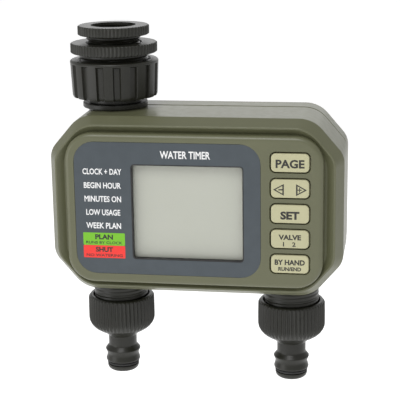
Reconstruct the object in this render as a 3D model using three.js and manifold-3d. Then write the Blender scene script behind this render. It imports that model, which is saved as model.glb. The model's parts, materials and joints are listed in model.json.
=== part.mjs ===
// Two-outlet drip irrigation timer, in millimetres, +Z up, front towards -Y.
//
// Part frame: the origin is the centre of the top face of the upper tap adaptor, where the tap
// screws in, and +Z points up into the tap.
// Case frame: the case group is moved so that x = 0 and z = 0 are the middle of the case and
// y = 0 is its front panel. Depth in the case frame runs towards the back.

import * as THREE from 'three';
import { mergeVertices } from 'three/addons/utils/BufferGeometryUtils.js';
import Module from 'manifold-3d';

// ---------------------------------------------------------------- driving dimensions

const PIPE_X = 43.1; // the inlet and both outlets stand this far from the middle of the case
const PIPE_Y = 35; // depth of the pipe axes behind the front panel
const INLET_RISE = 82; // height of the upper adaptor's top face above the middle of the case

const CLEARANCE = 0.3;
const FAR = 200; // reach of a cutter that runs right through

// Radii of the male pipe threads' crests; a female thread is one clearance wider.
const ONE_INCH = 16.6;
const THREE_QUARTER_INCH = 13.2;
const HALF_INCH = 10.5;

const CASE = {
  halfWidth: 69.6,
  halfHeight: 42.6,
  cornerReach: 69.5, // distance of the slanting corner facets from the middle
  seamY: 38.9,
  bevelY: 9.4, // where the side walls turn into the front bevel
  insideBevelY: 11, // the same turn on the inner face of the walls
  backY: 53.7,
  rearStartY: 39.1,
  wall: 2.3,
  frontRadius: 14,
  sideRadius: 10,
  draft: 0.1,
  seamGroove: 0.8,
};
const CORNER_SLANT = THREE.MathUtils.degToRad(40.6); // direction that a corner facet faces
const PANEL_RISE = -0.45; // height of the raised panel's middle
const RIDGE = { y: 3, halfWidth: 65.9, halfHeight: 39.2, cornerReach: 65.9, width: 0.7 };
const VALLEY = {
  y: 5.2, halfWidth: 62, halfHeight: 36.25, cornerReach: 62.6, centreZ: PANEL_RISE,
};
const FRONT_INSIDE = { y: 7.6, halfWidth: 64.4, halfHeight: 37.4, cornerReach: 63.6 };
const PANEL = {
  halfWidth: 60.6,
  halfHeight: 36.15,
  radius: 13,
  innerRadius: 8,
  edge: 2.2,
  inset: 2.3,
  skin: 2.2,
};

const LABEL = { left: -56.1, right: 31.8, halfHeight: 31.9, radius: 9.5, front: 0.1, back: 0.4 };
const DISPLAY = { left: -28.8, right: 23.65, bottom: -24.2, top: 21.3, radius: 1.5 };
const WINDOW = { front: 2.4, back: 3.6, margin: 2 };
const GLASS = { front: 3.9, back: 6, margin: 2.7 };
const LCD_FRAME = { front: 3.9, back: 9.3, wall: 1.4 };
const BOARD = { left: -37.5, right: 56.4, halfHeight: 29, front: 9.6, back: 11.2, radius: 1.5 };
const PEG = { radius: 1.3, inset: 2.5, betweenDisplayAndKeys: 31 };

const KEY = {
  x: 45.32,
  width: 17.5,
  height: 8.6,
  radius: 2.1,
  gap: 0.65,
  front: -0.8,
  flange: 1,
  flangeFront: 3,
  flangeBack: 3.7,
  stemBack: 5.9,
  stemHalfWidth: 6,
  stemHalfHeight: 1.5,
  edge: 0.6,
};
const KEY_ROWS = [
  { name: 'key_menu', z: 23.8 },
  { name: 'key_arrows', z: 11.7 },
  { name: 'key_ok', z: -0.25 },
  { name: 'key_zone', z: -12.25 },
  { name: 'key_manual', z: -24.3 },
];
const KEY_MAT = {
  left: 34.2,
  right: 56.2,
  halfHeight: 30.6,
  front: 8.3,
  back: 9.3,
  domeHeight: 1.3,
  domeTop: 1.6,
  domeFoot: 2.4,
  domeX: 4.5,
};

const SCREW_PLACES = [
  [-57.5, 27.5],
  [0, 36.4],
  [57.5, 27.5],
  [-57.5, -27.5],
  [0, -36.4],
  [57.5, -27.5],
];
const SCREW = { shank: 1.4, head: 2.9, headY: 47.9, headHeight: 2.2, tipY: 26 };
const BOSS = { front: 3.8, back: 4.4, pilot: 1.6, counterbore: 3.2, seatY: 47.6 };

const TRAY = {
  centreZ: -4.5,
  halfWidth: 28,
  halfHeight: 16.5,
  wall: 1.2,
  frontY: 36.1,
  plateY: 51.9,
  plateHalfWidth: 31.2,
  plateHalfHeight: 19.7,
  radius: 3,
  gripHalfWidth: 9,
  gripHeight: 3.2,
  gripDepth: 0.9,
};
const WELL = { wall: 1.4, floor: 1.6, ledgeY: 50.9, ledgeHalfWidth: 31.5, ledgeHalfHeight: 20 };
const CELL = { radius: 7.2, length: 48.6, nubRadius: 2.7, nubLength: 1.5, y: 44, spacing: 15.3 };
const CONTACT_THICKNESS = 0.5;

// Valve stations along y, from the closed end of the plunger tube to the closed end of the cup.
const VALVE = {
  z: -2,
  tubeFront: 12,
  coilFront: 13.4,
  coilBack: 24.6,
  bonnetFront: 25,
  bonnetBack: 30,
  rim: 31.6,
  floor: 36.2,
  cupBack: 46.4,
  outer: 12.4,
  bore: 10.6,
  seatOuter: 4.6,
  seatBore: 3.2,
  seatY: 32.6,
  outletY: 41.1,
  outletBore: 3.6,
};
const PLUNGER = { radius: 3, front: 18, shoulder: 28, back: 29.6, tip: 1.3 };
const GALLERY = { z: 22, outer: 6.4, bore: 4.4 };
const FEED = { y: 34.6, bore: 2.4 };
const PIPE = {
  outer: 10,
  bore: 8,
  throughWall: 12.9,
  narrowUntil: 36, // inside the case the pipes stay narrow up to this distance from its middle
  neck: 12.5,
  collar: 15.6,
  collarBottom: 42.9,
  collarTop: 45.2,
  lip: 14.6,
  mouth: 9.5,
  mouthDepth: 31.4,
  spigotEnd: -62,
};
const WALL_HOLE = { radius: 13.6, innerEnd: 30 };
const FILTER = { rim: -29.8, step: -31.1, bottom: -46, foot: 5, shoulder: 7.4, brim: 9.2, skin: 0.8 };

// Heights of the inlet stack in the part frame, downwards from the tap adaptor's top face.
const STACK = {
  smallDiscBottom: -4.5,
  smallFloorTop: -18.4,
  smallEnd: -20.9,
  largeDiscTop: -8.2,
  largeDiscBottom: -13,
  largeFloorTop: -23.7,
  largeEnd: -26.3,
  nutTop: -16.2,
  nutFloorTop: -32,
  nutBottom: -34.3,
  lipTop: -29,
  lipBottom: -31.7,
};
const SMALL_DISC = { radius: 17.2, ribs: 60, depth: 0.5 };
const LARGE_DISC = { radius: 20.9, ribs: 72, depth: 0.55 };
const NUT = {
  topRadius: 21.4,
  bottomRadius: 20.6,
  fluteTop: -17.8,
  flutes: 16,
  fluteWidth: 3.3,
  fluteDepth: 1.4,
  firstFlute: -7, // degrees
};
const COLLAR = { top: -53.1, bottom: -66.9, radius: 16.6, ribs: 50, depth: 0.6, seat: -64.6 };
const NOSE_BORE = 4.9;
// Click-on coupling nose as [radius, z], from its tip up to the shoulder under the collar.
const NOSE = [
  [6.3, -93.4],
  [7.4, -92.7],
  [7.95, -91.6],
  [7.95, -90.5],
  [6.8, -90.4],
  [6.8, -88.5],
  [8.3, -88.4],
  [8.6, -87.9],
  [7.85, -85],
  [8.4, -83],
  [8.85, -82.4],
  [7.1, -80.2],
  [7.1, -75],
  [9.7, -72.6],
  [13.8, -70.4],
  [15.2, -69],
];
const NOSE_SEAL = { inner: 6.95, outer: 8.15, side: 7.8, top: -88.6, bottom: -90.3 };
const WIRE_RADIUS = 0.6;

// ---------------------------------------------------------------- materials

const plastic = (color, roughness = 0.45) =>
  new THREE.MeshStandardMaterial({ color, roughness, metalness: 0 });
const metal = (color, roughness = 0.35) =>
  new THREE.MeshStandardMaterial({ color, roughness, metalness: 1 });

const MATERIAL = {
  olive: plastic(0x70725a),
  slate: plastic(0x535a5f, 0.5),
  keyCream: plastic(0xcdcca0, 0.5),
  blackPlastic: plastic(0x3c3c38, 0.5),
  innerPlastic: plastic(0x55574a, 0.6),
  rubber: plastic(0x1c1c1c, 0.85),
  silicone: plastic(0x9a9a94, 0.8),
  clear: new THREE.MeshStandardMaterial({
    color: 0xe8ebe4, roughness: 0.08, transparent: true, opacity: 0.35,
  }),
  display: plastic(0xb5b7a8, 0.2),
  board: plastic(0x2f5d3a, 0.5),
  cell: plastic(0x4b5563, 0.35),
  nickel: metal(0xc9c9c4),
  steel: metal(0x9a9c9e),
  coilTape: plastic(0xb9862f, 0.5),
  mesh: plastic(0xd8d8d0, 0.6),
};

// ---------------------------------------------------------------- booleans

const wasm = await Module();
wasm.setup();

// Triangle corners that fall together, as at the pole of a turned shape, bound no area.
function withoutSlivers(index) {
  const kept = [];
  for (let i = 0; i < index.length; i += 3) {
    const [a, b, c] = [index[i], index[i + 1], index[i + 2]];
    if (a !== b && b !== c && c !== a) {
      kept.push(a, b, c);
    }
  }
  return new Uint32Array(kept);
}

function solidOf(geometry) {
  const bare = geometry.clone();
  bare.deleteAttribute('normal');
  bare.deleteAttribute('uv');
  const merged = mergeVertices(bare, 1e-4);
  return new wasm.Manifold(new wasm.Mesh({
    numProp: 3,
    vertProperties: merged.attributes.position.array,
    triVerts: withoutSlivers(merged.index.array),
  }));
}

function geometryOf(solid) {
  const { vertProperties, triVerts } = solid.getMesh();
  const geometry = new THREE.BufferGeometry();
  geometry.setAttribute('position', new THREE.BufferAttribute(vertProperties, 3));
  geometry.setIndex(new THREE.BufferAttribute(triVerts, 1));
  geometry.computeVertexNormals();
  return geometry;
}

const joined = (first, ...others) => others.reduce((sum, next) => sum.add(next), first);
const cut = (body, ...tools) => tools.reduce((rest, tool) => rest.subtract(tool), body);

// ---------------------------------------------------------------- basic shapes

// Convex outline, anticlockwise, with each corner [x, z, radius] rounded by an arc.
function filletedOutline(corners, steps = 4) {
  const outline = [];
  corners.forEach(([x, z, radius], index) => {
    const before = corners.at(index - 1);
    const after = corners[(index + 1) % corners.length];
    const incoming = new THREE.Vector2(x - before[0], z - before[1]).normalize();
    const outgoing = new THREE.Vector2(after[0] - x, after[1] - z).normalize();
    const turn = Math.acos(incoming.dot(outgoing));
    const setback = radius * Math.tan(turn / 2);
    const start = new THREE.Vector2(x, z).addScaledVector(incoming, -setback);
    const toCentre = new THREE.Vector2(-incoming.y, incoming.x).multiplyScalar(radius);
    const centre = start.clone().add(toCentre);
    for (let step = 0; step <= steps; step += 1) {
      outline.push(start.clone().rotateAround(centre, (turn * step) / steps));
    }
  });
  return outline;
}

function roundedRectangle(left, right, bottom, top, radius, steps = 4) {
  const corners = [[left, bottom], [right, bottom], [right, top], [left, top]];
  return filletedOutline(corners.map(([x, z]) => [x, z, radius]), steps);
}

// Slab of an outline in x and z, from y = front to y = back.
function plate(outline, front, back) {
  const slab = new THREE.ExtrudeGeometry(new THREE.Shape(outline), {
    depth: back - front,
    bevelEnabled: false,
  });
  return solidOf(slab.rotateX(Math.PI / 2).translate(0, back, 0));
}

const block = (left, right, front, back, bottom, top) =>
  solidOf(new THREE.BoxGeometry(right - left, back - front, top - bottom)
    .translate((left + right) / 2, (front + back) / 2, (bottom + top) / 2));

// Body of revolution about the z axis; the profile is [radius, z], anticlockwise and closed.
function turned(profile, segments = 28) {
  const points = [...profile, profile[0]].map(([radius, z]) => new THREE.Vector2(radius, z));
  return solidOf(new THREE.LatheGeometry(points, segments).rotateX(Math.PI / 2));
}

// Body of revolution about the y axis; the profile is [radius, y].
function turnedAlongY(profile, segments = 24) {
  const points = [...profile, profile[0]].map(([radius, y]) => new THREE.Vector2(radius, y));
  return solidOf(new THREE.LatheGeometry(points, segments));
}

const rod = (radius, low, high, segments = 28) =>
  turned([[0, low], [radius, low], [radius, high], [0, high]], segments);
const sleeve = (inner, outer, low, high, segments = 28) =>
  turned([[inner, low], [outer, low], [outer, high], [inner, high]], segments);
const rodAlongY = (radius, front, back, segments = 24) =>
  turnedAlongY([[0, front], [radius, front], [radius, back], [0, back]], segments);
const sleeveAlongY = (inner, outer, front, back, segments = 16) =>
  turnedAlongY([[inner, front], [outer, front], [outer, back], [inner, back]], segments);

// Solid skinned over convex outlines of equal point count, each at its own depth y.
function lofted(rings) {
  const count = rings[0].outline.length;
  const positions = rings.flatMap(({ outline, y }) => outline.flatMap((p) => [p.x, y, p.y]));
  const index = [];
  for (let ring = 0; ring + 1 < rings.length; ring += 1) {
    for (let i = 0; i < count; i += 1) {
      const a = ring * count + i;
      const b = ring * count + ((i + 1) % count);
      index.push(a, a + count, b + count, a, b + count, b);
    }
  }
  const last = (rings.length - 1) * count;
  for (let i = 1; i + 1 < count; i += 1) {
    index.push(0, i, i + 1, last, last + i + 1, last + i);
  }
  const geometry = new THREE.BufferGeometry();
  geometry.setAttribute('position', new THREE.Float32BufferAttribute(positions, 3));
  geometry.setIndex(index);
  return solidOf(geometry);
}

// Wire of round section along a smooth path through the given points.
function wire(points, radius, steps, sides) {
  const section = [];
  for (let side = 0; side < sides; side += 1) {
    const angle = (2 * Math.PI * side) / sides;
    section.push(new THREE.Vector2(radius * Math.cos(angle), radius * Math.sin(angle)));
  }
  const path = new THREE.CatmullRomCurve3(points.map(([x, y, z]) => new THREE.Vector3(x, y, z)));
  const options = { steps, extrudePath: path, bevelEnabled: false };
  return new THREE.ExtrudeGeometry(new THREE.Shape(section), options);
}

// Coil spring along the y axis, filling the depth from front to back.
function spring(radius, wireRadius, front, back, turns) {
  const perTurn = 8;
  const count = turns * perTurn;
  const length = back - front - 2 * wireRadius;
  const points = [];
  for (let i = 0; i <= count; i += 1) {
    const angle = (2 * Math.PI * i) / perTurn;
    const y = front + wireRadius + (length * i) / count;
    points.push([radius * Math.cos(angle), y, radius * Math.sin(angle)]);
  }
  return wire(points, wireRadius, count, 4);
}

// Disc with a rim of fine ribs, from z = low to z = high.
function ribbedDisc({ radius, ribs, depth }, low, high) {
  const outline = [];
  for (let i = 0; i < ribs; i += 1) {
    const tip = (2 * Math.PI * i) / ribs;
    const root = (2 * Math.PI * (i + 0.5)) / ribs;
    outline.push(new THREE.Vector2(radius * Math.cos(tip), radius * Math.sin(tip)));
    outline.push(new THREE.Vector2(
      (radius - depth) * Math.cos(root),
      (radius - depth) * Math.sin(root),
    ));
  }
  const disc = new THREE.ExtrudeGeometry(new THREE.Shape(outline), {
    depth: high - low,
    bevelEnabled: false,
  });
  return solidOf(disc.translate(0, 0, low));
}

// ---------------------------------------------------------------- case

// Eight-cornered case outline with its slanting corners at the given reach.
function caseOutline({ halfWidth, halfHeight, cornerReach, centreZ = 0 }) {
  const sine = Math.sin(CORNER_SLANT);
  const cosine = Math.cos(CORNER_SLANT);
  const topX = (cornerReach - sine * halfHeight) / cosine;
  const sideZ = (cornerReach - cosine * halfWidth) / sine;
  const { frontRadius, sideRadius } = CASE;
  const low = centreZ - halfHeight;
  const high = centreZ + halfHeight;
  return filletedOutline([
    [topX, low, frontRadius],
    [halfWidth, centreZ - sideZ, sideRadius],
    [halfWidth, centreZ + sideZ, sideRadius],
    [topX, high, frontRadius],
    [-topX, high, frontRadius],
    [-halfWidth, centreZ + sideZ, sideRadius],
    [-halfWidth, centreZ - sideZ, sideRadius],
    [-topX, low, frontRadius],
  ], 3);
}

const caseRing = (inset, y) => ({
  y,
  outline: caseOutline({
    halfWidth: CASE.halfWidth - inset,
    halfHeight: CASE.halfHeight - inset,
    cornerReach: CASE.cornerReach - inset,
  }),
});
const rearRing = (sideInset, topInset, y) => ({
  y,
  outline: caseOutline({
    halfWidth: CASE.halfWidth - sideInset,
    halfHeight: CASE.halfHeight - topInset,
    cornerReach: CASE.cornerReach - (sideInset + topInset) / 2,
  }),
});
const shapedRing = (shape, inset = 0) => ({
  y: shape.y,
  outline: caseOutline({
    halfWidth: shape.halfWidth - inset,
    halfHeight: shape.halfHeight - inset,
    cornerReach: shape.cornerReach - inset,
    centreZ: shape.centreZ,
  }),
});

// Holes for the inlet at the top and the outlets at the bottom.
function pipeHoles() {
  const { radius, innerEnd } = WALL_HOLE;
  return [
    rod(radius, innerEnd, FAR, 20).translate([-PIPE_X, PIPE_Y, 0]),
    rod(radius, -FAR, -innerEnd, 20).translate([-PIPE_X, PIPE_Y, 0]),
    rod(radius, -FAR, -innerEnd, 20).translate([PIPE_X, PIPE_Y, 0]),
  ];
}

const atScrews = (make) => SCREW_PLACES.map(([x, z]) => make().translate([x, 0, z]));

const panelOutline = (inset, radius) => roundedRectangle(
  inset - PANEL.halfWidth, PANEL.halfWidth - inset,
  PANEL_RISE - PANEL.halfHeight + inset, PANEL_RISE + PANEL.halfHeight - inset, radius,
);

// Panel whose rim is rounded over down to upright sides.
function raisedPanel() {
  const { radius, edge } = PANEL;
  const steps = 3;
  const rings = [];
  for (let step = 0; step <= steps; step += 1) {
    const angle = (Math.PI / 2) * (1 - step / steps);
    const inset = edge * (1 - Math.cos(angle));
    rings.push({ y: edge * (1 - Math.sin(angle)), outline: panelOutline(inset, radius - inset) });
  }
  rings.push({ y: FRONT_INSIDE.y, outline: panelOutline(0, radius) });
  return lofted(rings);
}

const labelOutline = (gap) => roundedRectangle(
  LABEL.left - gap, LABEL.right + gap, -LABEL.halfHeight - gap, LABEL.halfHeight + gap,
  LABEL.radius + gap,
);
const displayOutline = (margin) => roundedRectangle(
  DISPLAY.left - margin, DISPLAY.right + margin, DISPLAY.bottom - margin, DISPLAY.top + margin,
  DISPLAY.radius, 2,
);
const keyOutline = (z, margin) => roundedRectangle(
  KEY.x - KEY.width / 2 - margin, KEY.x + KEY.width / 2 + margin,
  z - KEY.height / 2 - margin, z + KEY.height / 2 + margin,
  KEY.radius, 2,
);

// Four pegs that the circuit board sits on.
function boardPegs(radius, front, back) {
  const columns = [BOARD.left + PEG.inset, PEG.betweenDisplayAndKeys];
  const rows = [PEG.inset - BOARD.halfHeight, BOARD.halfHeight - PEG.inset];
  const peg = () => rodAlongY(radius, front, back, 8);
  return columns.flatMap((x) => rows.map((z) => peg().translate([x, 0, z])));
}

function frontCover() {
  const outside = lofted([
    shapedRing(RIDGE),
    caseRing(CASE.draft, CASE.bevelY),
    caseRing(0, CASE.seamY - CASE.seamGroove),
    caseRing(CASE.seamGroove, CASE.seamY),
  ]);
  const valley = lofted([
    { ...shapedRing(RIDGE, RIDGE.width), y: RIDGE.y - 1 },
    shapedRing(RIDGE, RIDGE.width),
    shapedRing(VALLEY),
  ]);
  const inside = lofted([
    shapedRing(FRONT_INSIDE),
    caseRing(CASE.wall + CASE.draft, CASE.insideBevelY),
    caseRing(CASE.wall, CASE.seamY + 1),
  ]);
  const panelInside = plate(
    panelOutline(PANEL.inset, PANEL.innerRadius), PANEL.skin, FRONT_INSIDE.y + 1,
  );
  const shell = cut(
    joined(outside.subtract(valley), raisedPanel()),
    inside,
    panelInside,
    plate(labelOutline(CLEARANCE), -FAR, LABEL.back + 0.05),
    plate(displayOutline(0), -FAR, FRONT_INSIDE.y),
    ...KEY_ROWS.map(({ z }) => plate(keyOutline(z, KEY.gap), -FAR, FRONT_INSIDE.y)),
  );
  const posts = joined(
    shell,
    ...atScrews(() => rodAlongY(BOSS.front, FRONT_INSIDE.y - 1.2, CASE.seamY - 0.3, 8)),
    ...boardPegs(PEG.radius, PANEL.skin - 0.2, BOARD.back + 0.5),
  );
  return cut(
    posts,
    ...pipeHoles(),
    ...atScrews(() => rodAlongY(BOSS.pilot, SCREW.tipY - 3, FAR, 8)),
  );
}

const trayOutline = (halfWidth, halfHeight, radius) => roundedRectangle(
  -halfWidth, halfWidth, TRAY.centreZ - halfHeight, TRAY.centreZ + halfHeight, radius, 2,
);

function rearCover() {
  const startY = CASE.rearStartY;
  const outside = lofted([
    caseRing(CASE.seamGroove, startY),
    rearRing(0.2, 0, startY + CASE.seamGroove),
    rearRing(0.4, 0, CASE.backY - 1.1),
    rearRing(0.8, 0.4, CASE.backY - 0.4),
    rearRing(1.6, 1.2, CASE.backY),
  ]);
  const inside = lofted([
    caseRing(CASE.wall + 0.3, startY - 1),
    caseRing(CASE.wall + 1.6, CASE.backY - CASE.wall),
  ]);
  const tongueInset = CASE.wall + 0.4;
  const tongueSkin = 1.5;
  const tongue = lofted([caseRing(tongueInset, startY - 2.4), caseRing(tongueInset, startY + 3)])
    .subtract(lofted([
      caseRing(tongueInset + tongueSkin, startY - 3),
      caseRing(tongueInset + tongueSkin, startY + 4),
    ]));
  const clearedTongue = cut(
    tongue,
    ...atScrews(() => rodAlongY(BOSS.front + CLEARANCE, -FAR, startY + 0.1, 8)),
  );
  const wellHalfWidth = TRAY.halfWidth + CLEARANCE + WELL.wall;
  const wellHalfHeight = TRAY.halfHeight + CLEARANCE + WELL.wall;
  const wellFront = TRAY.frontY - CLEARANCE - WELL.floor;
  const frameMargin = 1.8;
  const fittings = [
    plate(trayOutline(wellHalfWidth, wellHalfHeight, TRAY.radius), wellFront, CASE.backY - 1),
    plate(
      trayOutline(
        WELL.ledgeHalfWidth + frameMargin, WELL.ledgeHalfHeight + frameMargin, TRAY.radius,
      ),
      WELL.ledgeY - 2.2, CASE.backY - 1,
    ),
    ...atScrews(() => rodAlongY(BOSS.back, startY, CASE.backY - 1, 10)),
  ];
  const cavityHalfWidth = TRAY.halfWidth + CLEARANCE;
  const cavityHalfHeight = TRAY.halfHeight + CLEARANCE;
  return cut(
    joined(outside.subtract(inside), clearedTongue, ...fittings),
    plate(
      trayOutline(cavityHalfWidth, cavityHalfHeight, TRAY.radius), TRAY.frontY - CLEARANCE, FAR,
    ),
    plate(trayOutline(WELL.ledgeHalfWidth, WELL.ledgeHalfHeight, TRAY.radius), WELL.ledgeY, FAR),
    ...pipeHoles(),
    ...atScrews(() => rodAlongY(BOSS.pilot + 0.4, -FAR, FAR, 8)),
    ...atScrews(() => rodAlongY(BOSS.counterbore, BOSS.seatY, FAR, 12)),
  );
}

// Pan-head screw along y, its head in the rear counterbore and its tip in the front boss.
const caseScrew = () => turnedAlongY([
  [0, SCREW.tipY],
  [SCREW.shank, SCREW.tipY + 1],
  [SCREW.shank, SCREW.headY],
  [SCREW.head, SCREW.headY],
  [SCREW.head, SCREW.headY + SCREW.headHeight * 0.6],
  [0, SCREW.headY + SCREW.headHeight],
], 10);

const faceLabel = () =>
  plate(labelOutline(0), LABEL.front, LABEL.back).subtract(plate(displayOutline(0.2), -FAR, FAR));

// ---------------------------------------------------------------- display, board and keys

const displayWindow = () => plate(displayOutline(WINDOW.margin), WINDOW.front, WINDOW.back);
const displayGlass = () => plate(displayOutline(GLASS.margin), GLASS.front, GLASS.back);

function lcdFrame() {
  const inner = GLASS.margin + 0.3;
  return plate(displayOutline(inner + LCD_FRAME.wall), LCD_FRAME.front, LCD_FRAME.back)
    .subtract(plate(displayOutline(inner), -FAR, FAR));
}

const connectorStrip = () => block(
  DISPLAY.left + 2, DISPLAY.right - 2, GLASS.back + 0.2, LCD_FRAME.back,
  DISPLAY.bottom - 1.6, DISPLAY.bottom + 0.6,
);

function circuitBoard() {
  const outline = roundedRectangle(
    BOARD.left, BOARD.right, -BOARD.halfHeight, BOARD.halfHeight, BOARD.radius, 2,
  );
  const bossNotches = atScrews(() => rodAlongY(BOSS.front + CLEARANCE, -FAR, FAR, 8));
  return cut(
    plate(outline, BOARD.front, BOARD.back),
    ...bossNotches,
    ...boardPegs(PEG.radius + CLEARANCE, BOARD.front - 1, BOARD.back + 1),
  );
}

function keyMat() {
  const { left, right, halfHeight, front, back, domeHeight, domeTop, domeFoot, domeX } = KEY_MAT;
  const sheet = plate(roundedRectangle(left, right, -halfHeight, halfHeight, 1, 2), front, back);
  const dome = () => turnedAlongY([
    [0, front - domeHeight], [domeTop, front - domeHeight], [domeFoot, front + 0.2],
    [0, front + 0.2],
  ], 8);
  const domes = KEY_ROWS.flatMap(({ z }) =>
    [-domeX, domeX].map((offset) => dome().translate([KEY.x + offset, 0, z])));
  return cut(
    joined(sheet, ...domes),
    ...atScrews(() => rodAlongY(BOSS.front + CLEARANCE, -FAR, FAR, 8)),
    ...boardPegs(PEG.radius + CLEARANCE, front - 3, back + 1),
  );
}

// Key cap with a softened front edge, a retaining flange behind the panel and a stem.
function key(z) {
  const cap = lofted([
    { y: KEY.front, outline: keyOutline(z, -KEY.edge) },
    { y: KEY.front + KEY.edge, outline: keyOutline(z, 0) },
    { y: KEY.flangeBack, outline: keyOutline(z, 0) },
  ]);
  const flange = plate(keyOutline(z, KEY.flange + KEY.gap), KEY.flangeFront, KEY.flangeBack);
  const stem = block(
    KEY.x - KEY.stemHalfWidth, KEY.x + KEY.stemHalfWidth, KEY.flangeBack - 0.5, KEY.stemBack,
    z - KEY.stemHalfHeight, z + KEY.stemHalfHeight,
  );
  return joined(cap, flange, stem);
}

// ---------------------------------------------------------------- battery tray

function batteryTray() {
  const { halfWidth, halfHeight, wall, frontY, plateY, radius } = TRAY;
  const body = plate(trayOutline(halfWidth, halfHeight, radius), frontY, plateY + 0.5);
  const hollow = plate(
    trayOutline(halfWidth - wall, halfHeight - wall, radius - wall), frontY - 1, plateY - 0.4,
  );
  const lid = plate(
    trayOutline(TRAY.plateHalfWidth, TRAY.plateHalfHeight, radius), plateY, CASE.backY,
  );
  const { gripHalfWidth, gripHeight, gripDepth } = TRAY;
  const lidTop = TRAY.centreZ + TRAY.plateHalfHeight;
  const grip = roundedRectangle(
    -gripHalfWidth, gripHalfWidth, lidTop - gripHeight, lidTop + gripHeight, radius, 3,
  );
  return cut(joined(body, lid), hollow, plate(grip, CASE.backY - gripDepth, FAR));
}

// Flat ring between the tray's lid and the ledge round the well.
function traySeal() {
  const ring = (margin) =>
    trayOutline(TRAY.halfWidth + margin, TRAY.halfHeight + margin, TRAY.radius);
  return plate(ring(2.9), WELL.ledgeY + 0.1, TRAY.plateY - 0.1)
    .subtract(plate(ring(CLEARANCE), -FAR, FAR));
}

// Cell lying along x with its raised positive pole towards +x when direction is 1.
function cell(direction) {
  const { radius, length, nubRadius, nubLength } = CELL;
  const half = length / 2;
  const profile = [
    [0, -half], [radius, -half], [radius, half - 0.5], [radius - 0.5, half],
    [nubRadius, half], [nubRadius, half + nubLength], [0, half + nubLength],
  ];
  return turned(profile, 16).rotate([0, direction * 90, 0]);
}

const contactX = () => TRAY.halfWidth - TRAY.wall - CONTACT_THICKNESS - 0.1;

function contactPlate(side, lowZ, highZ) {
  const inner = side * contactX();
  const outer = inner + side * CONTACT_THICKNESS;
  return block(
    Math.min(inner, outer), Math.max(inner, outer), CELL.y - 5, CELL.y + 5,
    TRAY.centreZ + lowZ, TRAY.centreZ + highZ,
  );
}

// ---------------------------------------------------------------- water side

// One valve cup with its seat, standing on the y axis.
const cupBody = () => rodAlongY(VALVE.outer, VALVE.rim, VALVE.cupBack, 20);

const standing = (solid, side) => solid.translate([side * PIPE_X, PIPE_Y, 0]);
const atValve = (solid, side) => solid.translate([side * PIPE_X, 0, VALVE.z]);

function valveManifold() {
  const { outer, bore, throughWall, narrowUntil, spigotEnd } = PIPE;
  const { neck, collar, collarBottom, collarTop, lip, mouth, mouthDepth } = PIPE;
  const lipBottom = INLET_RISE + STACK.lipBottom;
  const lipTop = INLET_RISE + STACK.lipTop;
  const inlet = turned([
    [0, VALVE.z + 11], [outer, VALVE.z + 11], [outer, narrowUntil], [throughWall, narrowUntil],
    [throughWall, collarBottom], [collar, collarBottom], [collar, collarTop], [neck, collarTop],
    [neck, lipBottom], [lip, lipBottom], [lip, lipTop], [0, lipTop],
  ], 24);
  const rightDrop = rod(outer - 2, VALVE.z + 11, GALLERY.z + 2, 16);
  const outlet = turned([
    [0, spigotEnd], [THREE_QUARTER_INCH - 0.7, spigotEnd], [THREE_QUARTER_INCH, spigotEnd + 0.8],
    [THREE_QUARTER_INCH, -narrowUntil], [outer, -narrowUntil], [outer, VALVE.z - 8],
    [0, VALVE.z - 8],
  ], 24);
  const gallery = rod(GALLERY.outer, -PIPE_X, PIPE_X, 14).rotate([0, 90, 0])
    .translate([0, PIPE_Y, GALLERY.z]);
  const bothSides = (make) => [-1, 1].map((side) => make(side));
  const material = joined(
    standing(inlet, -1),
    standing(rightDrop, 1),
    gallery,
    ...bothSides((side) => standing(outlet, side)),
    ...bothSides((side) => atValve(cupBody(), side)),
  );
  const capped = cut(
    material,
    ...bothSides((side) => atValve(rodAlongY(VALVE.outer + 0.4, -FAR, VALVE.rim, 20), side)),
    ...bothSides((side) => atValve(
      sleeveAlongY(VALVE.seatOuter, VALVE.bore, VALVE.rim - 1, VALVE.floor, 16), side,
    )),
    ...bothSides((side) => atValve(rodAlongY(VALVE.seatOuter + 0.1, 0, VALVE.seatY, 16), side)),
  );
  const galleryBore = rod(GALLERY.bore, -PIPE_X, PIPE_X, 12).rotate([0, 90, 0])
    .translate([0, PIPE_Y, GALLERY.z]);
  return cut(
    capped,
    standing(rod(bore, VALVE.z + 18, INLET_RISE, 16), -1),
    standing(rod(mouth, INLET_RISE - mouthDepth, INLET_RISE, 24), -1),
    standing(rod(outer - 4, VALVE.z + 18, GALLERY.z + 0.5, 12), 1),
    galleryBore,
    ...bothSides((side) =>
      rod(FEED.bore, VALVE.z + 7, VALVE.z + 19, 12).translate([side * PIPE_X, FEED.y, 0])),
    ...bothSides((side) => atValve(rodAlongY(VALVE.seatBore, 0, VALVE.outletY, 12), side)),
    ...bothSides((side) =>
      rod(VALVE.outletBore, -24, VALVE.z + 3, 12).translate([side * PIPE_X, VALVE.outletY, 0])),
    ...bothSides((side) => standing(rod(bore, -FAR, -20, 16), side)),
  );
}

const valveMembrane = () =>
  sleeveAlongY(VALVE.seatOuter + 1.4, VALVE.outer - 0.4, VALVE.bonnetBack + 0.1, VALVE.rim - 0.1);

const valvePlate = () => turnedAlongY([
  [0, 30.3], [3.4, 30.3], [5.6, 31], [5.6, VALVE.seatY - 0.3], [0, VALVE.seatY - 0.3],
], 12);

function valveBonnet() {
  const { outer, bonnetFront, bonnetBack, tubeFront } = VALVE;
  const tube = PLUNGER.radius + CLEARANCE;
  return turnedAlongY([
    [0, tubeFront], [tube + 0.9, tubeFront], [tube + 0.9, bonnetFront], [outer, bonnetFront],
    [outer, bonnetBack], [9.2, bonnetBack], [9.2, bonnetFront + 2],
    [tube, bonnetFront + 2], [tube, tubeFront + 1.2], [0, tubeFront + 1.2],
  ], 16);
}

const solenoidCoil = () =>
  sleeveAlongY(PLUNGER.radius + CLEARANCE + 1.3, 9.2, VALVE.coilFront, VALVE.coilBack);

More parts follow.
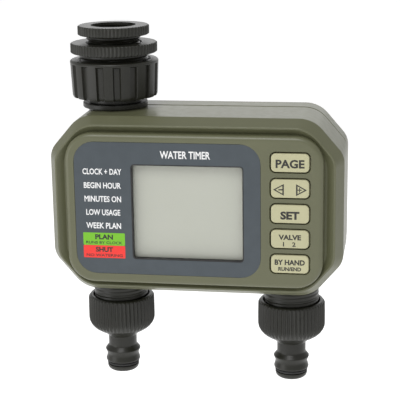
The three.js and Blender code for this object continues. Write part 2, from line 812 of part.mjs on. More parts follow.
const plunger = () => turnedAlongY([
  [0, PLUNGER.front], [PLUNGER.radius, PLUNGER.front], [PLUNGER.radius, PLUNGER.shoulder],
  [PLUNGER.tip, PLUNGER.shoulder], [PLUNGER.tip, PLUNGER.back], [0, PLUNGER.back],
], 12);

// Strainer cup hanging in the inlet neck, its rim on the step at the mouth.
function inletFilter() {
  const { rim, step, bottom, foot, shoulder, brim, skin } = FILTER;
  return turned([
    [0, bottom], [foot, bottom], [shoulder, step], [brim, step], [brim, rim],
    [shoulder - skin, rim], [foot - skin, bottom + skin], [0, bottom + skin],
  ], 20);
}

const washer = (inner, outer, low, high) => sleeve(inner, outer, low + 0.1, high - 0.1, 16);

// Threaded reducer: knurled disc, male thread below it and female thread inside.
function adaptor({ disc, discTop, discBottom, male, female, floorTop, end, floorHole }) {
  const body = joined(
    ribbedDisc(disc, discBottom, discTop),
    turned([[0, end], [male - 0.8, end], [male, end + 0.9], [male, discTop - 1], [0, discTop - 1]]),
  );
  return cut(
    body,
    turned([[0, floorTop], [female, floorTop], [female, discTop + 1], [0, discTop + 1]]),
    rod(floorHole, end - 1, floorTop + 1, 20),
  );
}

const smallAdaptor = () => adaptor({
  disc: SMALL_DISC,
  discTop: 0,
  discBottom: STACK.smallDiscBottom,
  male: THREE_QUARTER_INCH,
  female: HALF_INCH + CLEARANCE,
  floorTop: STACK.smallFloorTop,
  end: STACK.smallEnd,
  floorHole: 7,
});
const largeAdaptor = () => adaptor({
  disc: LARGE_DISC,
  discTop: STACK.largeDiscTop,
  discBottom: STACK.largeDiscBottom,
  male: ONE_INCH,
  female: THREE_QUARTER_INCH + CLEARANCE,
  floorTop: STACK.largeFloorTop,
  end: STACK.largeEnd,
  floorHole: 9,
});

function swivelNut() {
  const { topRadius, bottomRadius, fluteTop, flutes, fluteWidth, fluteDepth, firstFlute } = NUT;
  const bore = ONE_INCH + CLEARANCE;
  const blank = turned([
    [PIPE.neck + 0.5, STACK.nutBottom], [bottomRadius - 0.6, STACK.nutBottom],
    [bottomRadius, STACK.nutBottom + 0.6], [topRadius, STACK.nutTop - 1],
    [topRadius - 1, STACK.nutTop], [bore, STACK.nutTop], [bore, STACK.nutFloorTop],
    [PIPE.neck + 0.5, STACK.nutFloorTop],
  ], 32);
  const height = fluteTop - STACK.nutBottom + 1;
  const cutters = [];
  for (let i = 0; i < flutes; i += 1) {
    const flute = solidOf(new THREE.BoxGeometry(4, fluteWidth, height)
      .translate(bottomRadius + 0.2 - fluteDepth + 2, 0, fluteTop - height / 2));
    cutters.push(flute.rotate([0, 0, firstFlute + (360 * i) / flutes]));
  }
  return cut(blank, ...cutters);
}

// Hose connector in the case frame's heights: ribbed collar above, coupling nose below.
function outletConnector() {
  const { top, bottom, radius, seat, ribs, depth } = COLLAR;
  const bore = THREE_QUARTER_INCH + CLEARANCE;
  const core = radius - depth - 0.1;
  const body = turned([
    [NOSE_BORE, NOSE[0][1]], ...NOSE, [core, bottom - 1], [core, top - 0.5], [core - 0.5, top],
    [bore, top], [bore, seat], [NOSE_BORE, seat],
  ], 20);
  const ribbed = ribbedDisc({ radius, ribs, depth }, bottom, top - 0.9);
  const hollow = rod(bore + 0.5, -FAR, FAR, 20);
  return joined(body, cut(ribbed, hollow));
}

function noseSeal() {
  const { inner, outer, side, top, bottom } = NOSE_SEAL;
  return turned([
    [inner, bottom], [side, bottom], [outer, (bottom + top) / 2], [side, top], [inner, top],
  ], 16);
}

// ---------------------------------------------------------------- assembly

const timer = new THREE.Group();
const caseGroup = new THREE.Group();
caseGroup.position.set(PIPE_X, -PIPE_Y, -INLET_RISE);
timer.add(caseGroup);

function addMesh(group, name, shape, material, place = [0, 0, 0]) {
  const geometry = shape.isBufferGeometry ? shape : geometryOf(shape);
  const mesh = new THREE.Mesh(geometry, material);
  mesh.name = name;
  mesh.position.set(...place);
  group.add(mesh);
}

function addCase() {
  addMesh(caseGroup, 'front_cover', frontCover(), MATERIAL.olive);
  addMesh(caseGroup, 'rear_cover', rearCover(), MATERIAL.olive);
  addMesh(caseGroup, 'face_label', faceLabel(), MATERIAL.slate);
  SCREW_PLACES.forEach(([x, z], index) => {
    addMesh(caseGroup, `case_screw_${index + 1}`, caseScrew(), MATERIAL.steel, [x, 0, z]);
  });
}

function addElectronics() {
  addMesh(caseGroup, 'display_window', displayWindow(), MATERIAL.clear);
  addMesh(caseGroup, 'display_glass', displayGlass(), MATERIAL.display);
  addMesh(caseGroup, 'display_frame', lcdFrame(), MATERIAL.innerPlastic);
  addMesh(caseGroup, 'display_connector_strip', connectorStrip(), MATERIAL.silicone);
  addMesh(caseGroup, 'circuit_board', circuitBoard(), MATERIAL.board);
  addMesh(caseGroup, 'key_mat', keyMat(), MATERIAL.silicone);
  KEY_ROWS.forEach(({ name, z }) => addMesh(caseGroup, name, key(z), MATERIAL.keyCream));
}

function addBatteries() {
  addMesh(caseGroup, 'battery_tray', batteryTray(), MATERIAL.olive);
  addMesh(caseGroup, 'battery_tray_seal', traySeal(), MATERIAL.rubber);
  const offset = CELL.spacing / 2;
  const upper = [0, CELL.y, TRAY.centreZ + offset];
  const lower = [0, CELL.y, TRAY.centreZ - offset];
  addMesh(caseGroup, 'battery_upper', cell(1), MATERIAL.cell, upper);
  addMesh(caseGroup, 'battery_lower', cell(-1), MATERIAL.cell, lower);
  addMesh(caseGroup, 'battery_link_plate', contactPlate(-1, -13, 13), MATERIAL.nickel);
  addMesh(caseGroup, 'battery_contact_upper', contactPlate(1, 2, 13), MATERIAL.nickel);
  addMesh(caseGroup, 'battery_contact_lower', contactPlate(1, -13, -2), MATERIAL.nickel);
}

function addValve(label, side) {
  const place = [side * PIPE_X, 0, VALVE.z];
  const add = (name, shape, material) =>
    addMesh(caseGroup, `${name}_${label}`, shape, material, place);
  add('valve_membrane', valveMembrane(), MATERIAL.rubber);
  add('valve_plate', valvePlate(), MATERIAL.blackPlastic);
  add('plate_spring', spring(5, 0.35, VALVE.bonnetFront + 2.2, 30.2, 2), MATERIAL.steel);
  add('valve_bonnet', valveBonnet(), MATERIAL.innerPlastic);
  add('solenoid_coil', solenoidCoil(), MATERIAL.coilTape);
  add('plunger', plunger(), MATERIAL.steel);
  add('plunger_spring', spring(2.2, 0.35, VALVE.tubeFront + 1.4, PLUNGER.front - 0.2, 3),
    MATERIAL.steel);
}

function addOutlet(label, side) {
  const place = [side * PIPE_X, PIPE_Y, 0];
  addMesh(caseGroup, `outlet_connector_${label}`, outletConnector(), MATERIAL.blackPlastic, place);
  addMesh(caseGroup, `connector_washer_${label}`,
    washer(8.4, THREE_QUARTER_INCH - 0.2, COLLAR.seat, PIPE.spigotEnd), MATERIAL.rubber, place);
  addMesh(caseGroup, `nose_seal_${label}`, noseSeal(), MATERIAL.rubber, place);
}

function addWires() {
  const coilExit = (side) => [side * (PIPE_X - 8), 18, VALVE.z + 11];
  const coilWire = (side) => wire([
    [side * (PIPE_X - 6), 18, VALVE.z + 8.2], coilExit(side),
    [side * 26, 16, 13], [side * 20, 13, 14], [side * 18, 11.6, 14],
  ], WIRE_RADIUS, 10, 5);
  addMesh(caseGroup, 'coil_wire_left', coilWire(-1), MATERIAL.rubber);
  addMesh(caseGroup, 'coil_wire_right', coilWire(1), MATERIAL.rubber);
  addMesh(caseGroup, 'battery_wire', wire([
    [20, 33.9, -15], [20, 29, -17], [14, 20, -18], [8, 14, -18], [6, 11.6, -18],
  ], WIRE_RADIUS, 10, 5), MATERIAL.rubber);
}

function addInlet() {
  addMesh(timer, 'small_adaptor', smallAdaptor(), MATERIAL.blackPlastic);
  addMesh(timer, 'tap_washer',
    washer(7, HALF_INCH, STACK.smallFloorTop, STACK.smallFloorTop + 2.2), MATERIAL.rubber);
  addMesh(timer, 'large_adaptor', largeAdaptor(), MATERIAL.blackPlastic);
  addMesh(timer, 'adaptor_washer',
    washer(9, THREE_QUARTER_INCH, STACK.largeFloorTop, STACK.smallEnd), MATERIAL.rubber);
  addMesh(timer, 'swivel_nut', swivelNut(), MATERIAL.blackPlastic);
  addMesh(timer, 'nut_washer',
    washer(9.5, ONE_INCH, STACK.lipTop, STACK.largeEnd), MATERIAL.rubber);
  addMesh(timer, 'inlet_filter', inletFilter(), MATERIAL.mesh);
}

addCase();
addElectronics();
addBatteries();
addMesh(caseGroup, 'valve_manifold', valveManifold(), MATERIAL.blackPlastic);
addValve('left', -1);
addValve('right', 1);
addOutlet('left', -1);
addOutlet('right', 1);
addWires();
addInlet();

export default timer;
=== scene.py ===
"""Looks of a two-outlet drip irrigation timer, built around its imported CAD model.

Lengths are written in millimetres and turned into metres when a piece is made. They are counted
from three places that the frame gives: the middle of the case's front panel (y runs to the back),
the inlet axis at the top face of the upper adaptor, and each outlet's axis.
"""

import json
import math

import bmesh
import bpy
from mathutils import Matrix, Vector


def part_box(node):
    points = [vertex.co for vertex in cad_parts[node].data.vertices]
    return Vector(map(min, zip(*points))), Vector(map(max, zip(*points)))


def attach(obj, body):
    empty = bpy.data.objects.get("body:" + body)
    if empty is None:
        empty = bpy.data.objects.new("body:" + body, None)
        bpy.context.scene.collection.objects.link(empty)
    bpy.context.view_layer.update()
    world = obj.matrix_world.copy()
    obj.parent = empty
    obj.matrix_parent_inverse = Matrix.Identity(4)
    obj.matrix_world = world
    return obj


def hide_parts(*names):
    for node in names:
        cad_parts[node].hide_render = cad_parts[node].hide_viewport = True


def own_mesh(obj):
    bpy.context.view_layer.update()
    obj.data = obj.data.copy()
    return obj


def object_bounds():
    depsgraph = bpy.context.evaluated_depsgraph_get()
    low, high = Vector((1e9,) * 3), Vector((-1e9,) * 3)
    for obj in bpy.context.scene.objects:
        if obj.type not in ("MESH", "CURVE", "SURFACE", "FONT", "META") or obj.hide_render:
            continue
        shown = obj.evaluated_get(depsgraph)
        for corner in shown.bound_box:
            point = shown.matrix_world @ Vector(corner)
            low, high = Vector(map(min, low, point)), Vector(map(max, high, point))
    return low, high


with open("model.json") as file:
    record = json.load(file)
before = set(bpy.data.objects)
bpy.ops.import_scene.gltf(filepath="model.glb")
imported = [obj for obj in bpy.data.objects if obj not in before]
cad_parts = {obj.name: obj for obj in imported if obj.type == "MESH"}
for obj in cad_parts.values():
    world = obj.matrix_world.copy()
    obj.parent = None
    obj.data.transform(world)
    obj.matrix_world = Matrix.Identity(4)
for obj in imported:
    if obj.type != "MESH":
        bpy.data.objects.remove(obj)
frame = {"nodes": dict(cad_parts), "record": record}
cad_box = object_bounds()

MM = 0.001

# ------------------------------------------------------------------ places taken from the frame

cover_low, cover_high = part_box("front_cover")
CASE = Vector(((cover_low.x + cover_high.x) / 2, cover_low.y, (cover_low.z + cover_high.z) / 2))
nut_low, nut_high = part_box("swivel_nut")
adaptor_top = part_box("small_adaptor")[1].z
INLET = Vector(((nut_low.x + nut_high.x) / 2, (nut_low.y + nut_high.y) / 2, adaptor_top))


def outlet_place(side):
    """Axis of an outlet at the height of the case's middle, in metres."""
    low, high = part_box(f"outlet_connector_{side}")
    return Vector(((low.x + high.x) / 2, (low.y + high.y) / 2, CASE.z))


# ------------------------------------------------------------------ dimensions in millimetres

CORNER_SLANT = math.radians(40.6)
CASE_HALF_WIDTH = 69.6
CASE_HALF_HEIGHT = 42.6
CASE_REACH = 69.5
END_RADIUS = 14.0
SIDE_RADIUS = 10.0
CORNER_STEPS = 8
SEAM_Y = 38.9
BACK_Y = 53.7
WALL = 2.3
PANEL_BOX = (-60.6, 60.6, -36.6, 35.7)
PANEL_RISE = -0.45
PANEL_RADIUS = 13.0
PANEL_EDGE = 2.2
VALLEY_Y = 5.2
RIDGE_Y = 3.0
BEVEL_Y = 9.4
LABEL_BOX = (-56.1, 31.8, -31.9, 31.9)
LABEL_RADIUS = 9.5
LABEL_FRONT = 0.1
DISPLAY_BOX = (-28.8, 23.65, -24.2, 21.3)
DISPLAY_RADIUS = 1.5
KEY_X = 45.32
KEY_WIDTH = 17.5
KEY_HEIGHT = 8.6
KEY_RADIUS = 2.1
KEY_GAP = 0.65
KEY_FRONT = -0.745
KEY_PRINT_FRONT = -0.8
LABEL_PRINT_FRONT = 0.05
PRINT_THICKNESS = 0.1
KEY_ROWS = {
    "key_menu": 23.8,
    "key_arrows": 11.7,
    "key_ok": -0.25,
    "key_zone": -12.25,
    "key_manual": -24.3,
}
PIPE_X = 43.1
PIPE_Y = 35.0
WALL_HOLE = 13.6
TRAY_Z = -4.5
TRAY_HALF_WIDTH = 31.2
TRAY_HALF_HEIGHT = 19.7
TRAY_RADIUS = 3.0
TRAY_FRONT_Y = 36.1
TRAY_PLATE_Y = 51.95
TRAY_BODY_INSET = 3.2
TRAY_WALL = 1.2
TRAY_PLAY = 0.3
SCREW_HOLE = 3.2
SCREW_SEAT_Y = 47.6
OUTSIDE = 5.0
NOSE_BORE = 4.9
SCREWS = [(-57.5, 27.5), (0, 36.4), (57.5, 27.5), (-57.5, -27.5), (0, -36.4), (57.5, -27.5)]
FINE_PITCH = 1.814
COARSE_PITCH = 2.309
LEVELS_PER_TURN = 7
ANGLES_PER_RIB = 6


# ------------------------------------------------------------------ materials

def new_material(name, **fixed):
    """Material with one Principled shader; fixed gives sockets that are the same all over."""
    material = bpy.data.materials.new(name)
    material.use_nodes = True
    shader = material.node_tree.nodes["Principled BSDF"]
    for socket, value in fixed.items():
        shader.inputs[socket.replace("_", " ")].default_value = value
    return material, material.node_tree, shader


def noise(tree, scale, detail=4.0, roughness=0.55):
    """Noise in the piece's own coordinates; scale is in waves per metre."""
    place = tree.nodes.new("ShaderNodeTexCoord")
    texture = tree.nodes.new("ShaderNodeTexNoise")
    texture.inputs["Scale"].default_value = scale
    texture.inputs["Detail"].default_value = detail
    texture.inputs["Roughness"].default_value = roughness
    tree.links.new(place.outputs["Object"], texture.inputs["Vector"])
    return texture.outputs["Fac"]


def mapped(tree, value, low, high, from_low=0.3, from_high=0.7):
    """Value stretched from its usual span to low..high."""
    node = tree.nodes.new("ShaderNodeMapRange")
    node.inputs["From Min"].default_value = from_low
    node.inputs["From Max"].default_value = from_high
    node.inputs["To Min"].default_value = low
    node.inputs["To Max"].default_value = high
    tree.links.new(value, node.inputs["Value"])
    return node.outputs["Result"]


def blended(tree, factor, first, second):
    """Colour between two others; each is a colour or an output."""
    node = tree.nodes.new("ShaderNodeMix")
    node.data_type = "RGBA"
    for socket, colour in ((node.inputs[6], first), (node.inputs[7], second)):
        if isinstance(colour, bpy.types.NodeSocket):
            tree.links.new(colour, socket)
        else:
            socket.default_value = (*colour, 1.0)
    tree.links.new(factor, node.inputs["Factor"])
    return node.outputs[2]


def bump(tree, shader, height, distance):
    """Relief of the given depth in metres."""
    node = tree.nodes.new("ShaderNodeBump")
    node.inputs["Distance"].default_value = distance
    tree.links.new(height, node.inputs["Height"])
    tree.links.new(node.outputs["Normal"], shader.inputs["Normal"])


def edge_wear(tree):
    """1 on rubbed convex edges, 0 elsewhere, broken up by noise."""
    geometry = tree.nodes.new("ShaderNodeNewGeometry")
    ridge = mapped(tree, geometry.outputs["Pointiness"], 0.0, 1.0, 0.52, 0.6)
    patches = mapped(tree, noise(tree, 180.0), 0.0, 1.0, 0.4, 0.65)
    product = tree.nodes.new("ShaderNodeMath")
    product.operation = "MULTIPLY"
    tree.links.new(ridge, product.inputs[0])
    tree.links.new(patches, product.inputs[1])
    return product.outputs[0]


def moulded(name, colour, roughness=0.45, grain=1600.0, depth=0.00002, variation=0.12, **fixed):
    """Injection-moulded plastic or rubber: fine grain, slight clouding and rubbed edges."""
    material, tree, shader = new_material(name, **fixed)
    dark = [c * (1 - variation) for c in colour]
    light = [min(1.0, c * (1 + variation)) for c in colour]
    rubbed = [min(1.0, c * 1.25 + 0.01) for c in colour]
    clouded = blended(tree, mapped(tree, noise(tree, 45.0), 0.0, 1.0), dark, light)
    worn = blended(tree, edge_wear(tree), clouded, rubbed)
    tree.links.new(worn, shader.inputs["Base Color"])
    gloss = mapped(tree, noise(tree, 320.0), roughness - 0.02, roughness + 0.03)
    tree.links.new(gloss, shader.inputs["Roughness"])
    bump(tree, shader, noise(tree, grain, 2.0), depth)
    return material


def printed(name, colour):
    """Screen-printed ink with a slightly uneven film."""
    material, tree, shader = new_material(name)
    thin = [c * 0.9 for c in colour]
    tree.links.new(blended(tree, noise(tree, 900.0), thin, colour), shader.inputs["Base Color"])
    tree.links.new(mapped(tree, noise(tree, 700.0), 0.45, 0.6), shader.inputs["Roughness"])
    return material


def worked_metal(name, colour, roughness, direction):
    """Drawn or plated metal with fine lines across the given direction."""
    material, tree, shader = new_material(name, Metallic=1.0)
    place = tree.nodes.new("ShaderNodeTexCoord")
    stretch = tree.nodes.new("ShaderNodeMapping")
    stretch.inputs["Scale"].default_value = direction
    lines = tree.nodes.new("ShaderNodeTexNoise")
    lines.inputs["Scale"].default_value = 900.0
    tree.links.new(place.outputs["Object"], stretch.inputs["Vector"])
    tree.links.new(stretch.outputs["Vector"], lines.inputs["Vector"])
    tint = blended(tree, lines.outputs["Fac"], [c * 0.85 for c in colour], colour)
    tree.links.new(tint, shader.inputs["Base Color"])
    gloss = mapped(tree, lines.outputs["Fac"], roughness - 0.06, roughness + 0.1)
    tree.links.new(gloss, shader.inputs["Roughness"])
    bump(tree, shader, lines.outputs["Fac"], 0.00001)
    return material


def display_material():
    """Reflective liquid crystal: pale grey-green with a barely visible pixel grid."""
    material, tree, shader = new_material("display_grey", Coat_Weight=0.3, Coat_Roughness=0.08)
    place = tree.nodes.new("ShaderNodeTexCoord")
    grid = tree.nodes.new("ShaderNodeTexChecker")
    grid.inputs["Scale"].default_value = 2400.0
    grid.inputs["Color1"].default_value = (0.33, 0.34, 0.275, 1)
    grid.inputs["Color2"].default_value = (0.35, 0.36, 0.295, 1)
    tree.links.new(place.outputs["Object"], grid.inputs["Vector"])
    cloud = mapped(tree, noise(tree, 30.0, 2.0), 0.0, 0.35)
    colour = blended(tree, cloud, grid.outputs["Color"], (0.39, 0.39, 0.33))
    tree.links.new(colour, shader.inputs["Base Color"])
    tree.links.new(mapped(tree, noise(tree, 400.0), 0.3, 0.42), shader.inputs["Roughness"])
    return material


def clear_material():
    """Clear pane: hardly any body, some gloss, faint smears."""
    material, tree, shader = new_material("clear_pane", Alpha=0.1)
    smears = mapped(tree, noise(tree, 60.0, 6.0, 0.7), 0.03, 0.16)
    tree.links.new(smears, shader.inputs["Roughness"])
    tint = blended(tree, noise(tree, 25.0), (0.85, 0.87, 0.84), (0.92, 0.93, 0.9))
    tree.links.new(tint, shader.inputs["Base Color"])
    return material


def board_material():
    """Green solder resist with darker tracks under it."""
    material, tree, shader = new_material("solder_resist", Coat_Weight=0.4)
    place = tree.nodes.new("ShaderNodeTexCoord")
    tracks = tree.nodes.new("ShaderNodeTexBrick")
    tracks.inputs["Scale"].default_value = 420.0
    tracks.inputs["Color1"].default_value = (0.02, 0.13, 0.05, 1)
    tracks.inputs["Color2"].default_value = (0.03, 0.17, 0.07, 1)
    tracks.inputs["Mortar"].default_value = (0.06, 0.26, 0.11, 1)
    tree.links.new(place.outputs["Object"], tracks.inputs["Vector"])
    tree.links.new(tracks.outputs["Color"], shader.inputs["Base Color"])
    tree.links.new(mapped(tree, noise(tree, 500.0), 0.3, 0.45), shader.inputs["Roughness"])
    bump(tree, shader, tracks.outputs["Fac"], 0.00002)
    return material


def filter_material():
    """Fine moulded mesh: a woven pattern of pale threads."""
    material, tree, shader = new_material("filter_weave")
    place = tree.nodes.new("ShaderNodeTexCoord")
    weave = tree.nodes.new("ShaderNodeTexChecker")
    weave.inputs["Scale"].default_value = 1400.0
    weave.inputs["Color1"].default_value = (0.62, 0.62, 0.58, 1)
    weave.inputs["Color2"].default_value = (0.30, 0.30, 0.28, 1)
    tree.links.new(place.outputs["Object"], weave.inputs["Vector"])
    tree.links.new(weave.outputs["Color"], shader.inputs["Base Color"])
    tree.links.new(mapped(tree, noise(tree, 500.0), 0.5, 0.65), shader.inputs["Roughness"])
    bump(tree, shader, weave.outputs["Fac"], 0.0001)
    return material


OLIVE = moulded("olive_shell", (0.104, 0.107, 0.058), 0.36, depth=0.000004, variation=0.03)
FITTING_BLACK = moulded(
    "fitting_black", (0.013, 0.013, 0.009), 0.36, variation=0.15, Specular_IOR_Level=0.38,
)
SLATE = moulded("slate_film", (0.044, 0.056, 0.066), 0.36, 2600.0, 0.000008, 0.04)
KEY_CREAM = moulded("key_cream", (0.43, 0.415, 0.255), 0.5, depth=0.00001, variation=0.04)
INNER_GREY = moulded("inner_grey", (0.09, 0.092, 0.07), 0.55)
RUBBER = moulded("black_rubber", (0.012, 0.012, 0.012), 0.7, 900.0, 0.00004)
SILICONE = moulded("grey_silicone", (0.32, 0.32, 0.30), 0.65, 900.0)
CELL_JACKET = moulded("cell_jacket", (0.07, 0.10, 0.15), 0.3, 2200.0, 0.000005)
COIL_TAPE = moulded("coil_tape", (0.48, 0.24, 0.04), 0.35, 700.0, 0.00003)
WHITE_INK = printed("white_ink", (0.80, 0.80, 0.80))
BLACK_INK = printed("black_ink", (0.02, 0.02, 0.017))
GREEN_INK = printed("green_ink", (0.16, 0.46, 0.012))
RED_INK = printed("red_ink", (0.80, 0.03, 0.022))
STEEL = worked_metal("drawn_steel", (0.55, 0.55, 0.56), 0.32, (1, 12, 1))
NICKEL = worked_metal("nickel_plate", (0.70, 0.68, 0.63), 0.22, (8, 1, 1))
DISPLAY = display_material()
CLEAR = clear_material()
BOARD = board_material()
FILTER = filter_material()

MATERIAL_OF_SLOT = {
    "olive_plastic": OLIVE,
    "slate_label": SLATE,
    "key_cream": KEY_CREAM,
    "black_plastic": FITTING_BLACK,
    "inner_plastic": INNER_GREY,
    "rubber": RUBBER,
    "silicone": SILICONE,
    "clear_window": CLEAR,
    "display_glass": DISPLAY,
    "board": BOARD,
    "cell_jacket": CELL_JACKET,
    "nickel": NICKEL,
    "steel": STEEL,
    "coil_tape": COIL_TAPE,
    "filter_mesh": FILTER,
}


def dress_cad_nodes():
    """Every CAD node that stays visible takes the material of its slot."""
    for entry in frame["record"]["subparts"]:
        obj = frame["nodes"][entry["node"]]
        obj.data.materials.clear()
        obj.data.materials.append(MATERIAL_OF_SLOT[entry["material_slot"]])


# ------------------------------------------------------------------ outlines and sections

def filleted_outline(corners, steps):
    """Convex outline, anticlockwise; each corner (x, z, radius) is rounded by an arc."""
    outline = []
    count = len(corners)
    for i, (x, z, radius) in enumerate(corners):
        corner = Vector((x, z))
        before = Vector(corners[i - 1][:2])
        after = Vector(corners[(i + 1) % count][:2])
        incoming = (corner - before).normalized()
        outgoing = (after - corner).normalized()
        turn = incoming.angle(outgoing)
        start = corner - incoming * radius * math.tan(turn / 2)
        centre = start + Vector((-incoming.y, incoming.x)) * radius
        for step in range(steps + 1):
            spoke = (start - centre)
            spoke.rotate(Matrix.Rotation(turn * step / steps, 2))
            outline.append(tuple(centre + spoke))
    return outline


def rectangle(box, radius, margin=0.0, steps=6):
    """Rounded rectangle from (left, right, bottom, top), grown by margin all round."""
    left, right, bottom, top = box
    left, bottom = left - margin, bottom - margin
    right, top = right + margin, top + margin
    radius = max(radius + margin, 0.2)
    corners = [(left, bottom), (right, bottom), (right, top), (left, top)]
    return filleted_outline([(x, z, radius) for x, z in corners], steps)


def octagon(half_width, half_height, reach, rise):
    """The case's eight-cornered outline; reach is how far out the slanting corners stand."""
    sine, cosine = math.sin(CORNER_SLANT), math.cos(CORNER_SLANT)
    top_x = (reach - sine * half_height) / cosine
    side_z = (reach - cosine * half_width) / sine
    corners = [
        (top_x, -half_height, END_RADIUS), (half_width, -side_z, SIDE_RADIUS),
        (half_width, side_z, SIDE_RADIUS), (top_x, half_height, END_RADIUS),
        (-top_x, half_height, END_RADIUS), (-half_width, side_z, SIDE_RADIUS),
        (-half_width, -side_z, SIDE_RADIUS), (-top_x, -half_height, END_RADIUS),
    ]
    lifted = [(x, z + rise, radius) for x, z, radius in corners]
    return filleted_outline(lifted, CORNER_STEPS)


def moved_towards(start, end, distance):
    """Point of a section that many millimetres from start towards end, at most halfway."""
    length = math.dist(start[:2], end[:2])
    share = min(distance / length, 0.5)
    return [a + (b - a) * share for a, b in zip(start, end)]


def softened(stations, steps=5):
    """Section points (values..., softness) with each inner corner rounded over its softness."""
    points = [list(s[:-1]) for s in stations]
    rounded = [points[0]]
    for i in range(1, len(points) - 1):
        softness = stations[i][-1]
        if softness == 0:
            rounded.append(points[i])
            continue
        start = moved_towards(points[i], points[i - 1], softness)
        end = moved_towards(points[i], points[i + 1], softness)
        for step in range(steps + 1):
            t = step / steps
            rounded.append([
                (1 - t) ** 2 * a + 2 * t * (1 - t) * b + t * t * c
                for a, b, c in zip(start, points[i], end)
            ])
    rounded.append(points[-1])
    return rounded


# ------------------------------------------------------------------ meshes

def bridged(bm, first, second):
    """Quads between two rings of the same count."""
    count = len(first)
    for i in range(count):
        j = (i + 1) % count
        bm.faces.new((first[i], first[j], second[j], second[i]))


def lofted(rings, closed=False):
    """Surface through rings (y, outline); its ends are capped, or joined if closed."""
    bm = bmesh.new()
    loops = [[bm.verts.new((x, y, z)) for x, z in outline] for y, outline in rings]
    for first, second in zip(loops, loops[1:]):
        bridged(bm, first, second)
    if closed:
        bridged(bm, loops[-1], loops[0])
    else:
        bm.faces.new(loops[0])
        bm.faces.new(loops[-1])
    bmesh.ops.recalc_face_normals(bm, faces=bm.faces)
    return bm


def turned(levels, angles):
    """Surface round the z axis through levels (radius, z, relief).

    relief(angle, z) is taken off the radius. The section closes on itself unless its first and
    last radius are 0, when it closes on the axis.
    """
    bm = bmesh.new()
    loops = []
    for radius, z, relief in levels:
        if radius == 0:
            loops.append([bm.verts.new((0, 0, z))])
            continue
        loop = []
        for angle in angles:
            r = radius - (relief(angle, z) if relief else 0)
            loop.append(bm.verts.new((r * math.cos(angle), r * math.sin(angle), z)))
        loops.append(loop)
    on_axis = len(loops[0]) == 1
    pairs = list(zip(loops, loops[1:])) + ([] if on_axis else [(loops[-1], loops[0])])
    for first, second in pairs:
        if len(first) == 1 or len(second) == 1:
            pole, rim = (first[0], second) if len(first) == 1 else (second[0], first)
            for i in range(len(rim)):
                bm.faces.new((pole, rim[i], rim[(i + 1) % len(rim)]))
        else:
            bridged(bm, first, second)
    bmesh.ops.recalc_face_normals(bm, faces=bm.faces)
    return bm


def even_angles(count):
    return [2 * math.pi * i / count for i in range(count)]


def plain(points):
    """Levels with no relief from (radius, z) points."""
    return [(radius, z, None) for radius, z in points]


def rounded_levels(stations):
    """Plain levels through softened (radius, z, softness) stations."""
    return plain(softened(stations, 4))


def joined(*parts):
    """One bmesh holding several closed shells."""
    whole = bmesh.new()
    for part in parts:
        mesh = bpy.data.meshes.new("part")
        part.to_mesh(mesh)
        part.free()
        whole.from_mesh(mesh)
        bpy.data.meshes.remove(mesh)
    return whole


def placed(bm, name, origin, material):
    """Object from a bmesh in millimetres, with its mesh in metres in the part frame."""
    bm.transform(Matrix.Translation(origin) @ Matrix.Scale(MM, 4))
    mesh = bpy.data.meshes.new(name)
    bm.to_mesh(mesh)
    bm.free()
    obj = bpy.data.objects.new(name, mesh)
    bpy.context.scene.collection.objects.link(obj)
    if material is not None:
        mesh.materials.append(material)
    return obj


def evaluated_mesh(obj):
    depsgraph = bpy.context.evaluated_depsgraph_get()
    return bpy.data.meshes.new_from_object(obj.evaluated_get(depsgraph))


def boolean(obj, tools, operation):
    """obj cut by or joined with the bmeshes in tools, one group of tools at a time."""
    for bm in tools:
        tool = placed(bm, "tool", CASE, None)
        modifier = obj.modifiers.new("boolean", "BOOLEAN")
        modifier.operation = operation
        modifier.solver = "EXACT"
        modifier.object = tool
        result = evaluated_mesh(obj)
        obj.modifiers.clear()
        obj.data = result
        bpy.data.objects.remove(tool)
    return obj


def shaded(obj, sharp=32.0):
    """Smooth shading that keeps edges above the given angle sharp and flat faces flat."""
    bm = bmesh.new()
    bm.from_mesh(obj.data)
    bmesh.ops.remove_doubles(bm, verts=bm.verts, dist=1e-7)
    limit = math.radians(sharp)
    for edge in bm.edges:
        edge.smooth = len(edge.link_faces) == 2 and edge.calc_face_angle(0) < limit
    for face in bm.faces:
        face.smooth = True
    bm.to_mesh(obj.data)
    bm.free()
    weighted = obj.modifiers.new("weighted", "WEIGHTED_NORMAL")
    weighted.keep_sharp = True
    weighted.weight = 90
    return obj


def shown(obj, body, slot, *nodes):
    """Rides on a body and stands for the CAD nodes named; slot is not used."""
    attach(obj, body)
    if nodes:
        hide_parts(*nodes)
    return obj


# ------------------------------------------------------------------ case

def case_rings(stations):
    """Rings of the octagonal outline from (y, half width, half height, reach, rise) stations."""
    return [(y, octagon(*shape)) for y, *shape in stations]


def inset_station(y, inset, softness=0.0):
    shape = (CASE_HALF_WIDTH - inset, CASE_HALF_HEIGHT - inset, CASE_REACH - inset)
    return (y, *shape, 0, softness)


def opening(box, radius, front, back, lip):
    """Cutter for an opening whose front edge is rounded over by lip."""
    steps = 4
    rings = [(back, rectangle(box, radius)), (front + lip, rectangle(box, radius))]
    for step in range(1, steps + 1):
        angle = math.pi / 2 * step / steps
        y = front + lip * (1 - math.sin(angle))
        rings.append((y, rectangle(box, radius, lip * (1 - math.cos(angle)))))
    rings.append((front - 3, rectangle(box, radius, lip)))
    return lofted(rings)


def rear_station(y, side, top, softness=0.0):
    """Station of the rear cover, whose sides are drafted more than its top and bottom."""
    reach = CASE_REACH - (side + top) / 2
    return (y, CASE_HALF_WIDTH - side, CASE_HALF_HEIGHT - top, reach, 0, softness)


def key_box(z, margin=0.0):
    half_width = KEY_WIDTH / 2 + margin
    half_height = KEY_HEIGHT / 2 + margin
    return (KEY_X - half_width, KEY_X + half_width, z - half_height, z + half_height)


